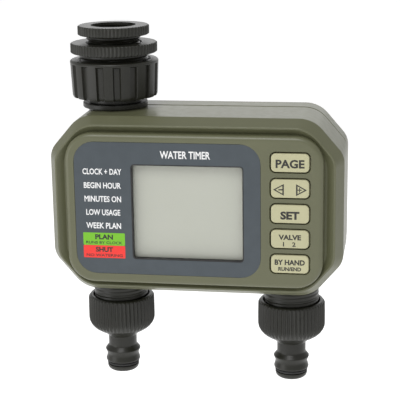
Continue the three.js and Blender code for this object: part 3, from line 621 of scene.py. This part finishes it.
def pipe_hole_cutters():
    holes = []
    for x, low, high in ((-PIPE_X, 30, 60), (-PIPE_X, -60, -30), (PIPE_X, -60, -30)):
        ring = plain([(0, low), (WALL_HOLE, low), (WALL_HOLE, high), (0, high)])
        hole = turned(ring, even_angles(64))
        hole.transform(Matrix.Translation((x, PIPE_Y, 0)))
        holes.append(hole)
    return holes


def panel_rings():
    """Raised panel: a rim rounded over down to upright sides."""
    rings = [(VALLEY_Y + 2, rectangle(PANEL_BOX, PANEL_RADIUS, 0, 10))]
    for step in range(7):
        angle = math.pi / 2 * step / 6
        y = PANEL_EDGE * (1 - math.sin(angle))
        margin = -PANEL_EDGE * (1 - math.cos(angle))
        rings.append((y, rectangle(PANEL_BOX, PANEL_RADIUS, margin, 10)))
    return rings


def make_front_cover():
    stations = softened([
        (5.6, 57.0, 32.4, 57.4, PANEL_RISE, 0),
        (VALLEY_Y, 62.0, 36.25, 62.6, PANEL_RISE, 0.4),
        (RIDGE_Y + 0.02, 65.2, 38.5, 65.2, 0, 0.15),
        (RIDGE_Y, 65.9, 39.2, 65.9, 0, 0.3),
        (BEVEL_Y, 69.5, 42.5, 69.4, 0, 0.4),
        inset_station(SEAM_Y - 0.8, 0, 0.15),
        inset_station(SEAM_Y, 0.8),
        inset_station(SEAM_Y, WALL),
        inset_station(11, WALL + 0.4),
        (7.6, 64.4, 37.4, 63.6, 0, 0),
    ])
    cover = placed(lofted(case_rings(stations)), "front_cover_shell", CASE, OLIVE)
    boolean(cover, [lofted(panel_rings())], "UNION")
    inside_box = (-58.3, 58.3, -34.3, 33.4)
    behind = lofted([(y, rectangle(inside_box, 8)) for y in (2.2, 8.6)])
    label_recess = opening(LABEL_BOX, LABEL_RADIUS + 0.3, 0.0, 0.45, 0.25)
    keys = [
        opening(key_box(z, KEY_GAP), KEY_RADIUS + KEY_GAP, 0.0, 9, 0.3) for z in KEY_ROWS.values()
    ]
    display = opening(DISPLAY_BOX, DISPLAY_RADIUS, 0.45, 9, 0.15)
    boolean(cover, [behind, joined(label_recess, *keys), display], "DIFFERENCE")
    boolean(cover, [joined(*pipe_hole_cutters())], "DIFFERENCE")
    shown(shaded(cover), "housing", "olive_plastic", "front_cover")


def tray_box(margin):
    """Outline of the battery tray's plate, grown by margin all round."""
    half_width = TRAY_HALF_WIDTH + margin
    half_height = TRAY_HALF_HEIGHT + margin
    return (-half_width, half_width, TRAY_Z - half_height, TRAY_Z + half_height)


def slab(box, radius, front, back, steps=6):
    """Plate with rounded corners from front to back."""
    outline = rectangle(box, radius, 0, steps)
    return lofted([(front, outline), (back, outline)])


def screw_cutters(radius, front, lip):
    """One counterbore for each case screw, flared by lip where it meets the back."""
    cutters = []
    for x, z in SCREWS:
        points = [(0, front), (radius, front), (radius, BACK_Y - lip)]
        points += [(radius + lip, BACK_Y), (radius + lip, BACK_Y + 4), (0, BACK_Y + 4)]
        hole = turned(plain(points), even_angles(40))
        hole.transform(Matrix.Translation((x, 0, z)) @ Matrix.Rotation(-math.pi / 2, 4, "X"))
        cutters.append(hole)
    return cutters


def make_rear_cover():
    start = SEAM_Y + 0.2
    stations = softened([
        rear_station(BACK_Y, 9, 9),
        rear_station(BACK_Y, 0.5, 0.1, 1.8),
        rear_station(start + 0.8, 0.2, 0, 0.15),
        rear_station(start, 0.8, 0.8),
        inset_station(start, WALL + 0.3),
        inset_station(BACK_Y - WALL, WALL + 1.6),
    ], 7)
    cover = placed(lofted(case_rings(stations)), "rear_cover_shell", CASE, OLIVE)
    inner = TRAY_PLAY - TRAY_BODY_INSET
    well = slab(tray_box(inner + 1.4), TRAY_RADIUS, 34.2, BACK_Y - 1)
    ledge = slab(tray_box(TRAY_PLAY + 1.8), TRAY_RADIUS, 48.7, BACK_Y - 1)
    boolean(cover, [well, ledge], "UNION")
    cavity = slab(tray_box(inner), TRAY_RADIUS, TRAY_FRONT_Y - TRAY_PLAY, BACK_Y + OUTSIDE)
    recess = slab(tray_box(TRAY_PLAY), TRAY_RADIUS + 0.2, 50.9, BACK_Y + OUTSIDE)
    boolean(cover, [cavity, recess], "DIFFERENCE")
    holes = [joined(*pipe_hole_cutters()), joined(*screw_cutters(SCREW_HOLE, SCREW_SEAT_Y, 0.4))]
    boolean(cover, holes, "DIFFERENCE")
    shown(shaded(cover), "housing", "olive_plastic", "rear_cover")


def make_tray_lid():
    """Battery tray: its plate has a softened rim, a raised field and a finger grip."""
    box = tray_box(0)
    stations = softened([
        (TRAY_FRONT_Y, -TRAY_BODY_INSET, 0), (TRAY_PLATE_Y, -TRAY_BODY_INSET, 0),
        (TRAY_PLATE_Y, 0.0, 0), (BACK_Y, 0.0, 0.5), (BACK_Y, -5.0, 0),
    ], 4)
    tray = placed(
        lofted([(y, rectangle(box, TRAY_RADIUS, margin)) for y, margin in stations]),
        "battery_tray_body", CASE, OLIVE,
    )
    inner = tray_box(-TRAY_BODY_INSET - TRAY_WALL)
    hollow = slab(inner, TRAY_RADIUS - TRAY_WALL, TRAY_FRONT_Y - OUTSIDE, 51.5)
    grip = slab((-9, 9, TRAY_Z + 12.1, TRAY_Z + 15.3), 1.4, BACK_Y - 0.9, BACK_Y + 3)
    field_edge = [(BACK_Y + 3, -2.6), (BACK_Y - 0.3, -2.6), (BACK_Y - 0.3, -3.0), (BACK_Y + 3, -3.0)]
    rings = [(y, rectangle(box, TRAY_RADIUS, margin)) for y, margin in field_edge]
    groove = lofted(rings, closed=True)
    boolean(tray, [joined(hollow, grip), groove], "DIFFERENCE")
    shown(shaded(tray), "battery_drawer", "olive_plastic", "battery_tray")


# ------------------------------------------------------------------ label and print

def lettering(text, origin, size, front, material, name, weight):
    """Flat printed word, centred at origin (x, z) in the case frame and fitted to size."""
    curve = bpy.data.curves.new(name, "FONT")
    curve.body = text
    curve.size = size[1] * 1.4
    curve.extrude = 0.01
    curve.bevel_depth = weight
    curve.bevel_resolution = 0
    curve.resolution_u = 3
    source = bpy.data.objects.new(name, curve)
    bpy.context.scene.collection.objects.link(source)
    bpy.context.view_layer.update()
    mesh = evaluated_mesh(source)
    bpy.data.objects.remove(source)
    bm = bmesh.new()
    bm.from_mesh(mesh)
    low = Vector([min(v.co[i] for v in bm.verts) for i in range(3)])
    high = Vector([max(v.co[i] for v in bm.verts) for i in range(3)])
    span = high - low
    bm.transform(Matrix.Translation(-(low + high) / 2))
    bm.transform(Matrix.Diagonal((
        size[0] / span.x, size[1] / span.y, PRINT_THICKNESS / span.z, 1,
    )))
    bm.transform(Matrix.Rotation(math.pi / 2, 4, "X"))
    bm.transform(Matrix.Translation((origin[0], front + PRINT_THICKNESS / 2, origin[1])))
    return placed(bm, name, CASE, material)


def make_label():
    outer = [(0.42, -0.12), (0.18, -0.1), (0.12, -0.13), (LABEL_FRONT, -0.2)]
    inner = [(LABEL_FRONT, 0.3), (0.12, 0.24), (0.42, 0.22)]
    rings = [(y, rectangle(LABEL_BOX, LABEL_RADIUS, margin, 10)) for y, margin in outer]
    rings += [(y, rectangle(DISPLAY_BOX, DISPLAY_RADIUS, margin, 10)) for y, margin in inner]
    label = placed(lofted(rings, closed=True), "face_label_film", CASE, SLATE)
    shown(shaded(label), "housing", "slate_label", "face_label")


# Words of the left-hand column from the top, each with its width and height on the label.
LABEL_LINES = (
    ("CLOCK + DAY", 18.6, 17.7),
    ("BEGIN HOUR", 17.8, 11.05),
    ("MINUTES ON", 17.6, 4.55),
    ("LOW USAGE", 16.4, -1.95),
    ("WEEK PLAN", 16.8, -8.4),
)
LABEL_COLUMN = -42.6
LABEL_CAPITALS = 2.9
LABEL_FIELDS = (
    ("auto", GREEN_INK, -15.0, "PLAN", 8.6, "RUNS BY CLOCK"),
    ("off", RED_INK, -21.2, "SHUT", 8.4, "NO WATERING"),
)


def make_label_print():
    front = LABEL_PRINT_FRONT
    for text, width, z in LABEL_LINES:
        name = "print_" + text.split()[0].lower()
        size = (width, LABEL_CAPITALS)
        word = lettering(text, (LABEL_COLUMN, z), size, front, WHITE_INK, name, 0.1)
        shown(word, "housing", "slate_label")
    title = lettering("WATER TIMER", (-3.2, 26.3), (23.5, 3.6), front, WHITE_INK, "print_title", 0.12)
    shown(title, "housing", "slate_label")
    for name, ink, z, text, width, small in LABEL_FIELDS:
        box = (LABEL_COLUMN - 10.06, LABEL_COLUMN + 10.06, z - 3.05, z + 3.05)
        patch = placed(slab(box, 0.4, 0.07, 0.13, 3), f"print_{name}_field", CASE, ink)
        shown(patch, "housing", "slate_label")
        word = lettering(text, (LABEL_COLUMN, z + 1.05), (width, 2.5), front - 0.03, BLACK_INK,
                         f"print_{name}_word", 0.15)
        shown(word, "housing", "slate_label")
        note = lettering(small, (LABEL_COLUMN, z - 1.75), (17.5, 1.35), front - 0.03, BLACK_INK,
                         f"print_{name}_note", 0.03)
        shown(note, "housing", "slate_label")


def make_display_shade_sheet():
    """Near-black sheet lining the walls of the display's opening: painted shade for the recess."""
    section = [(0.13, 0.2), (0.13, -0.3), (2.35, -0.4), (2.35, -0.02), (0.43, -0.02), (0.43, 0.2)]
    rings = [(y, rectangle(DISPLAY_BOX, DISPLAY_RADIUS, margin)) for y, margin in section]
    # The lining's near-black colour is painted shade inside the display's recess.
    lining = placed(lofted(rings, closed=True), "display_painted_shade", CASE, RUBBER)
    shown(shaded(lining), "housing", "inner_plastic")


# ------------------------------------------------------------------ keys

def make_key_cap(name, z):
    """Pillow-shaped cap with a flange behind the panel."""
    stations = softened([
        (3.65, 0.45, 0), (3.05, 0.45, 0), (3.05, 0.0, 0), (KEY_FRONT + 0.12, 0.0, 0.6),
        (KEY_FRONT, -2.0, 0.8), (KEY_FRONT, -3.9, 0),
    ], 6)
    rings = [(y, rectangle(key_box(z), KEY_RADIUS, margin, 8)) for y, margin in stations]
    cap = placed(lofted(rings), f"{name}_cap", CASE, KEY_CREAM)
    shown(shaded(cap, 40), name, "key_cream", name)


def arrowhead(direction, x, z):
    """Hollow arrowhead pointing along direction (-1 or 1)."""
    bm = bmesh.new()
    points = [(-direction * 2.2, -2.75), (-direction * 2.2, 2.75), (direction * 2.7, 0)]
    inner = [(px * 0.66 - direction * 0.1, pz * 0.68) for px, pz in points]
    loops = []
    for y in (KEY_PRINT_FRONT, KEY_PRINT_FRONT + PRINT_THICKNESS):
        loops.append([bm.verts.new((x + px, y, z + pz)) for px, pz in points])
        loops.append([bm.verts.new((x + px, y, z + pz)) for px, pz in inner])
    front_out, front_in, back_out, back_in = loops
    bridged(bm, front_out, front_in)
    bridged(bm, back_out, back_in)
    bridged(bm, front_out, back_out)
    bridged(bm, front_in, back_in)
    bmesh.ops.recalc_face_normals(bm, faces=bm.faces)
    return bm


# Key, name, word, place on the key, size and weight; a plain stroke stands for the digit one.
KEY_WORDS = (
    ("key_menu", "menu", "PAGE", 0, -0.4, (13.2, 4.0), 0.2),
    ("key_ok", "ok", "SET", 0, -0.6, (8.8, 3.9), 0.26),
    ("key_zone", "zone", "VALVE", 0, 1.0, (10.4, 2.5), 0.15),
    ("key_zone", "one", "I", -2.9, -2.3, (0.5, 2.1), 0.01),
    ("key_zone", "two", "2", 1.9, -2.3, (1.6, 2.1), 0.07),
    ("key_manual", "manual", "BY HAND", 0, 1.0, (14.0, 2.6), 0.15),
    ("key_manual", "switch", "RUN/END", 0, -2.2, (10.6, 1.9), 0.1),
)


def make_key_print():
    for node, name, text, x, z, size, weight in KEY_WORDS:
        origin = (KEY_X + x, KEY_ROWS[node] + z)
        word = lettering(
            text, origin, size, KEY_PRINT_FRONT, BLACK_INK, f"legend_{name}", weight,
        )
        shown(word, node, "key_cream")
    row = KEY_ROWS["key_arrows"] - 0.4
    for direction, name, sign, height in ((-1, "minus", "-", 0.6), (1, "plus", "+", 2.1)):
        x = KEY_X + direction * 5.0
        arrow = placed(arrowhead(direction, x, row), f"legend_arrow_{name}", CASE, BLACK_INK)
        shown(arrow, "key_arrows", "key_cream")
        mark = lettering(sign, (x - direction * 0.6, row), (1.9, height), KEY_PRINT_FRONT,
                         BLACK_INK, f"legend_{name}", 0.03)
        shown(mark, "key_arrows", "key_cream")


# ------------------------------------------------------------------ threads and ribs

def thread(pitch, depth, low, high):
    """Relief of a right-hand V thread that runs out towards both ends."""
    def relief(angle, z):
        phase = (z / pitch - angle / (2 * math.pi)) % 1.0
        groove = 1 - abs(2 * phase - 1)
        run_out = min(1.0, max(0.0, (z - low) / pitch), max(0.0, (high - z) / pitch))
        return depth * min(1.0, max(0.0, groove * 1.3 - 0.15)) * run_out
    return relief


def thread_levels(radius, low, high, pitch, depth, inward=False):
    """Levels up a threaded wall; an inward thread is cut outwards into a bore."""
    cut = thread(pitch, depth, low, high)
    relief = (lambda angle, z: -cut(angle, z)) if inward else cut
    count = round((high - low) / pitch * LEVELS_PER_TURN)
    return [(radius, low + (high - low) * i / count, relief) for i in range(count + 1)]


def ribs(count, depth, sharpness=1.0):
    """Relief of even upright ribs with rounded crests."""
    def relief(angle, _z):
        wave = 0.5 - 0.5 * math.cos(count * angle)
        return depth * wave ** sharpness
    return relief


def ribbed_rim(radius, low, high, count, depth, bore):
    """Knurled disc: the ribs fade out over its bevelled edges."""
    relief = ribs(count, depth)
    levels = [
        (bore, low, None), (radius - 1.6, low, None), (radius - depth - 0.1, low, None),
        (radius, low + 0.4, relief), (radius, (low + high) / 2, relief),
        (radius, high - 0.4, relief), (radius - depth - 0.1, high, None),
        (radius - 1.6, high, None), (bore, high, None),
    ]
    return turned(levels, even_angles(count * ANGLES_PER_RIB))


# ------------------------------------------------------------------ inlet stack

def make_swivel_nut():
    low, high, flute_top = -34.3, -16.2, -17.8
    flutes, groove, depth = 16, math.radians(9.0), 1.35
    first = math.radians(-7)
    bore = 16.9

    def relief(angle, z):
        period = 2 * math.pi / flutes
        offset = abs((angle - first + period / 2) % period - period / 2)
        across = min(1.0, max(0.0, (groove / 2 - offset) / math.radians(1.0) + 0.5))
        along = min(1.0, max(0.0, (flute_top - z) / 0.5))
        return depth * across * along

    def wall(z):
        return 20.6 + 0.8 * (z - low) / (high - low)

    outside = [
        (13.0, low), (18.9, low), (20.2, low + 0.35), (wall(low) - 0.05, low + 1.1),
        (wall(low + 2), low + 2), (wall(-27), -27), (wall(-20), -20), (wall(-18.4), -18.4),
        (wall(-18.2), -18.2), (wall(-18), -18), (wall(-17.8), -17.8), (wall(-17.6), -17.6),
        (wall(-17.2), -17.2), (wall(-16.8) - 0.15, -16.75), (wall(high) - 0.6, -16.35),
        (wall(high) - 1.2, high), (bore + 0.8, high),
    ]
    levels = [(radius, z, relief) for radius, z in outside]
    levels += [(bore, high - 0.8, None), (bore, -32, None), (13.0, -32, None)]
    nut = placed(turned(levels, even_angles(480)), "swivel_nut_body", INLET, FITTING_BLACK)
    shown(shaded(nut, 38), "swivel_nut", "black_plastic", "swivel_nut")


def make_adaptor(node, name, rim, male, female, stations, pitches):
    """Reducer: knurled rim, outer thread below it and inner thread down its bore."""
    rim_radius, rib_count = rim
    end, floor_top, disc_bottom, disc_top = stations
    male_pitch, female_pitch = pitches
    hole = female - 3.9
    barrel = plain([(hole, end), (male - 1.3, end), (male - 0.3, end + 0.8)])
    barrel += thread_levels(male, end + 0.9, disc_bottom - 0.5, male_pitch, 1.1)
    barrel += plain([
        (male - 0.4, disc_bottom), (male - 0.4, disc_top - 1), (female + 0.6, disc_top - 1),
    ])
    bore = thread_levels(female - 0.9, floor_top + 0.4, disc_top - 0.9, female_pitch, 0.9, True)
    barrel += [(female, disc_top - 1, None)] + bore[::-1]
    barrel += plain([(female - 0.9, floor_top), (hole, floor_top)])
    disc = ribbed_rim(rim_radius, disc_bottom, disc_top, rib_count, 0.5, female + 0.05)
    body = joined(turned(barrel, even_angles(96)), disc)
    adaptor = placed(body, name, INLET, FITTING_BLACK)
    shown(shaded(adaptor, 50), node, "black_plastic", node)


def make_inlet():
    make_swivel_nut()
    make_adaptor("large_adaptor", "large_adaptor_body", (20.9, 72), 16.6, 13.5,
                 (-26.3, -23.7, -13.0, -8.2), (COARSE_PITCH, FINE_PITCH))
    make_adaptor("small_adaptor", "small_adaptor_body", (17.2, 60), 13.2, 10.8,
                 (-20.9, -18.4, -4.5, 0.0), (FINE_PITCH, FINE_PITCH))
    collar = turned(rounded_levels([
        (12.55, -39.05, 0), (15.5, -39.05, 0.3), (15.7, -38.9, 0.3), (15.7, -36.9, 0.4),
        (15.2, -36.75, 0.2), (12.6, -36.75, 0.3), (12.6, -34.5, 0), (12.55, -34.5, 0),
    ]), even_angles(96))
    flange = placed(collar, "inlet_collar", INLET, FITTING_BLACK)
    shown(shaded(flange, 40), "housing", "black_plastic")


# ------------------------------------------------------------------ outlets

def make_connector(side, place):
    """Hose connector: ribbed collar, shoulder and quick-coupling nose."""
    full = ribs(50, 0.7, 0.8)

    def collar_ribs(angle, z):
        fade = min(1.0, max(0.0, (z + 70.0) / 2.4))
        return full(angle, z) * fade

    nose = rounded_levels([
        (NOSE_BORE, -93.4, 0), (6.3, -93.4, 0.5), (7.5, -92.6, 0.7), (7.95, -91.4, 0.5),
        (7.95, -90.5, 0.15), (6.9, -90.4, 0), (6.9, -88.5, 0), (8.45, -88.4, 0.15),
        (8.65, -87.8, 0.3), (7.8, -84.9, 0.9), (8.7, -82.8, 0.2), (8.85, -82.4, 0.3),
        (7.1, -80.2, 0.5), (7.1, -75.0, 0.3), (9.6, -72.7, 0.2), (10.0, -72.5, 0.1),
    ])
    shoulder = [
        (12.2, -71.4), (13.7, -70.4), (14.6, -69.6), (15.4, -68.6), (16.0, -67.6), (16.4, -66.6),
        (16.6, -65.4), (16.6, -60), (16.5, -54.4),
    ]
    outside = nose + [(radius, z, collar_ribs) for radius, z in shoulder]
    mouth = plain([(15.9, -53.7), (15.5, -53.2), (15.0, -53.1), (14.3, -53.1), (13.9, -53.6)])
    bore = plain([(13.55, -55.0), (13.55, -64.6), (NOSE_BORE, -64.6)])
    body = turned(outside + mouth + bore, even_angles(400))
    connector = placed(body, f"connector_{side}_body", place, FITTING_BLACK)
    node = f"outlet_connector_{side}"
    shown(shaded(connector, 42), node, "black_plastic", node)


def make_nose_seal(side, place):
    """O-ring near the tip of a connector."""
    rounds, radius, thickness, height = 12, 7.4, 0.72, -89.45
    section = []
    for i in range(rounds):
        angle = 2 * math.pi * i / rounds
        reach = radius + thickness * math.cos(angle)
        section.append((reach, height + thickness * math.sin(angle), None))
    seal = placed(turned(section, even_angles(72)), f"nose_ring_{side}", place, RUBBER)
    shown(shaded(seal, 60), f"outlet_connector_{side}", "rubber", f"nose_seal_{side}")


def make_spigot_thread(side, place):
    """Thread sleeve over the spigot, from the case down into the connector."""
    low, high = -61.4, -43.4
    levels = plain([(12.6, low - 0.2)])
    levels += thread_levels(13.46, low, high, FINE_PITCH, 0.24)
    levels += plain([(13.3, high + 0.6), (12.6, high + 0.6)])
    sleeve = placed(turned(levels, even_angles(96)), f"spigot_thread_{side}", place, FITTING_BLACK)
    shown(shaded(sleeve, 50), "housing", "black_plastic")


def make_outlets():
    for side in ("left", "right"):
        place = outlet_place(side)
        make_connector(side, place)
        make_nose_seal(side, place)
        make_spigot_thread(side, place)


# ------------------------------------------------------------------ valve springs

def coil(radius, wire, low, high, turns):
    """Coil spring along y from low to high; the first and last half turns lie flat."""
    around, sides = 20, 8
    bm = bmesh.new()
    steps = turns * around
    loops = []
    for step in range(steps + 1):
        angle = 2 * math.pi * step / around
        share = min(max((step - around / 2) / (steps - around), 0), 1)
        y = low + wire + (high - low - 2 * wire) * share
        loop = []
        for side in range(sides):
            turn = 2 * math.pi * side / sides
            reach = radius + wire * math.cos(turn)
            place = (reach * math.cos(angle), y + wire * math.sin(turn), reach * math.sin(angle))
            loop.append(bm.verts.new(place))
        loops.append(loop)
    for first, second in zip(loops, loops[1:]):
        bridged(bm, first, second)
    bm.faces.new(loops[0])
    bm.faces.new(loops[-1])
    bmesh.ops.recalc_face_normals(bm, faces=bm.faces)
    return bm


# Springs of each valve: name, joint that shortens it, turns and that joint's travel.
SPRINGS = (
    ("plunger_spring", "plunger_{}_lift", 3, 1.5),
    ("plate_spring", "valve_plate_{}_lift", 2, 1.2),
)
SPRING_WIRE = 0.33
SPRING_SLACK = 0.05


def make_springs(side):
    """Springs of the plunger and its plate, each a coil from the front end of its CAD node's box."""
    for kind, joint, turns, travel in SPRINGS:
        node = f"{kind}_{side}"
        low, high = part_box(node)
        middle = Vector(((low.x + high.x) / 2, low.y, (low.z + high.z) / 2))
        radius = (high.x - low.x) / MM / 2 - SPRING_WIRE - SPRING_SLACK
        length = (high.y - low.y) / MM
        spring = placed(coil(radius, SPRING_WIRE, 0, length, turns), f"{node}_coil", middle, STEEL)
        shown(shaded(spring), "housing", "steel", node)
        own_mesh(spring)


# ------------------------------------------------------------------ floor, light and camera

FLOOR_DROP = 0.3


def make_stage():
    bm = bmesh.new()
    floor_z = cad_box[0].z - FLOOR_DROP
    corners = [(-12, -12), (12, -12), (12, 12), (-12, 12)]
    bm.faces.new([bm.verts.new((x, y, floor_z)) for x, y in corners])
    mesh = bpy.data.meshes.new("floor")
    bm.to_mesh(mesh)
    bm.free()
    floor = bpy.data.objects.new("floor", mesh)
    bpy.context.scene.collection.objects.link(floor)
    material, _tree, _shader = new_material(
        "pale_floor", Base_Color=(0.93, 0.93, 0.93, 1), Roughness=0.9,
        Emission_Color=(1, 1, 1, 1), Emission_Strength=0.47,
    )
    mesh.materials.append(material)


def area_light(name, place, size, energy, target):
    light = bpy.data.lights.new(name, "AREA")
    light.size = size
    light.energy = energy
    obj = bpy.data.objects.new(name, light)
    obj.location = place
    obj.rotation_euler = (target - Vector(place)).to_track_quat("-Z", "Y").to_euler()
    bpy.context.scene.collection.objects.link(obj)


def make_light():
    world = bpy.data.worlds.new("soft_studio")
    world.use_nodes = True
    world.node_tree.nodes["Background"].inputs["Color"].default_value = (1, 1, 1, 1)
    world.node_tree.nodes["Background"].inputs["Strength"].default_value = 0.58
    bpy.context.scene.world = world
    area_light("key", (-0.1, -0.8, 1.0), 0.7, 9.0, CASE)
    area_light("behind", (0.0, 1.6, 0.6), 1.4, 5.0, CASE)
    area_light("left", (-1.4, -1.1, -0.1), 1.0, 6.0, CASE)


def make_camera():
    """Long lens from the right and above, as a product is photographed."""
    azimuth, elevation = math.radians(9.29), math.radians(14.41)
    distance, roll = 0.5908, math.radians(-0.84)
    target = CASE + Vector((3.58, 0, 5.30)) * MM
    direction = Vector((
        math.sin(azimuth) * math.cos(elevation),
        -math.cos(azimuth) * math.cos(elevation),
        math.sin(elevation),
    ))
    data = bpy.data.cameras.new("camera")
    data.lens = 114.9
    data.sensor_width = 36
    camera = bpy.data.objects.new("camera", data)
    look = (-direction).to_track_quat("-Z", "Y").to_matrix().to_4x4()
    place = Matrix.Translation(target + direction * distance)
    camera.matrix_world = place @ look @ Matrix.Rotation(roll, 4, "Z")
    bpy.context.scene.collection.objects.link(camera)
    bpy.context.scene.camera = camera


dress_cad_nodes()
make_front_cover()
make_rear_cover()
make_tray_lid()
make_label()
make_display_shade_sheet()
make_label_print()
for key_name, key_z in KEY_ROWS.items():
    make_key_cap(key_name, key_z)
make_key_print()
make_inlet()
make_outlets()
make_springs("left")
make_springs("right")
make_stage()
make_light()
make_camera()
bpy.context.scene.view_settings.view_transform = "Standard"
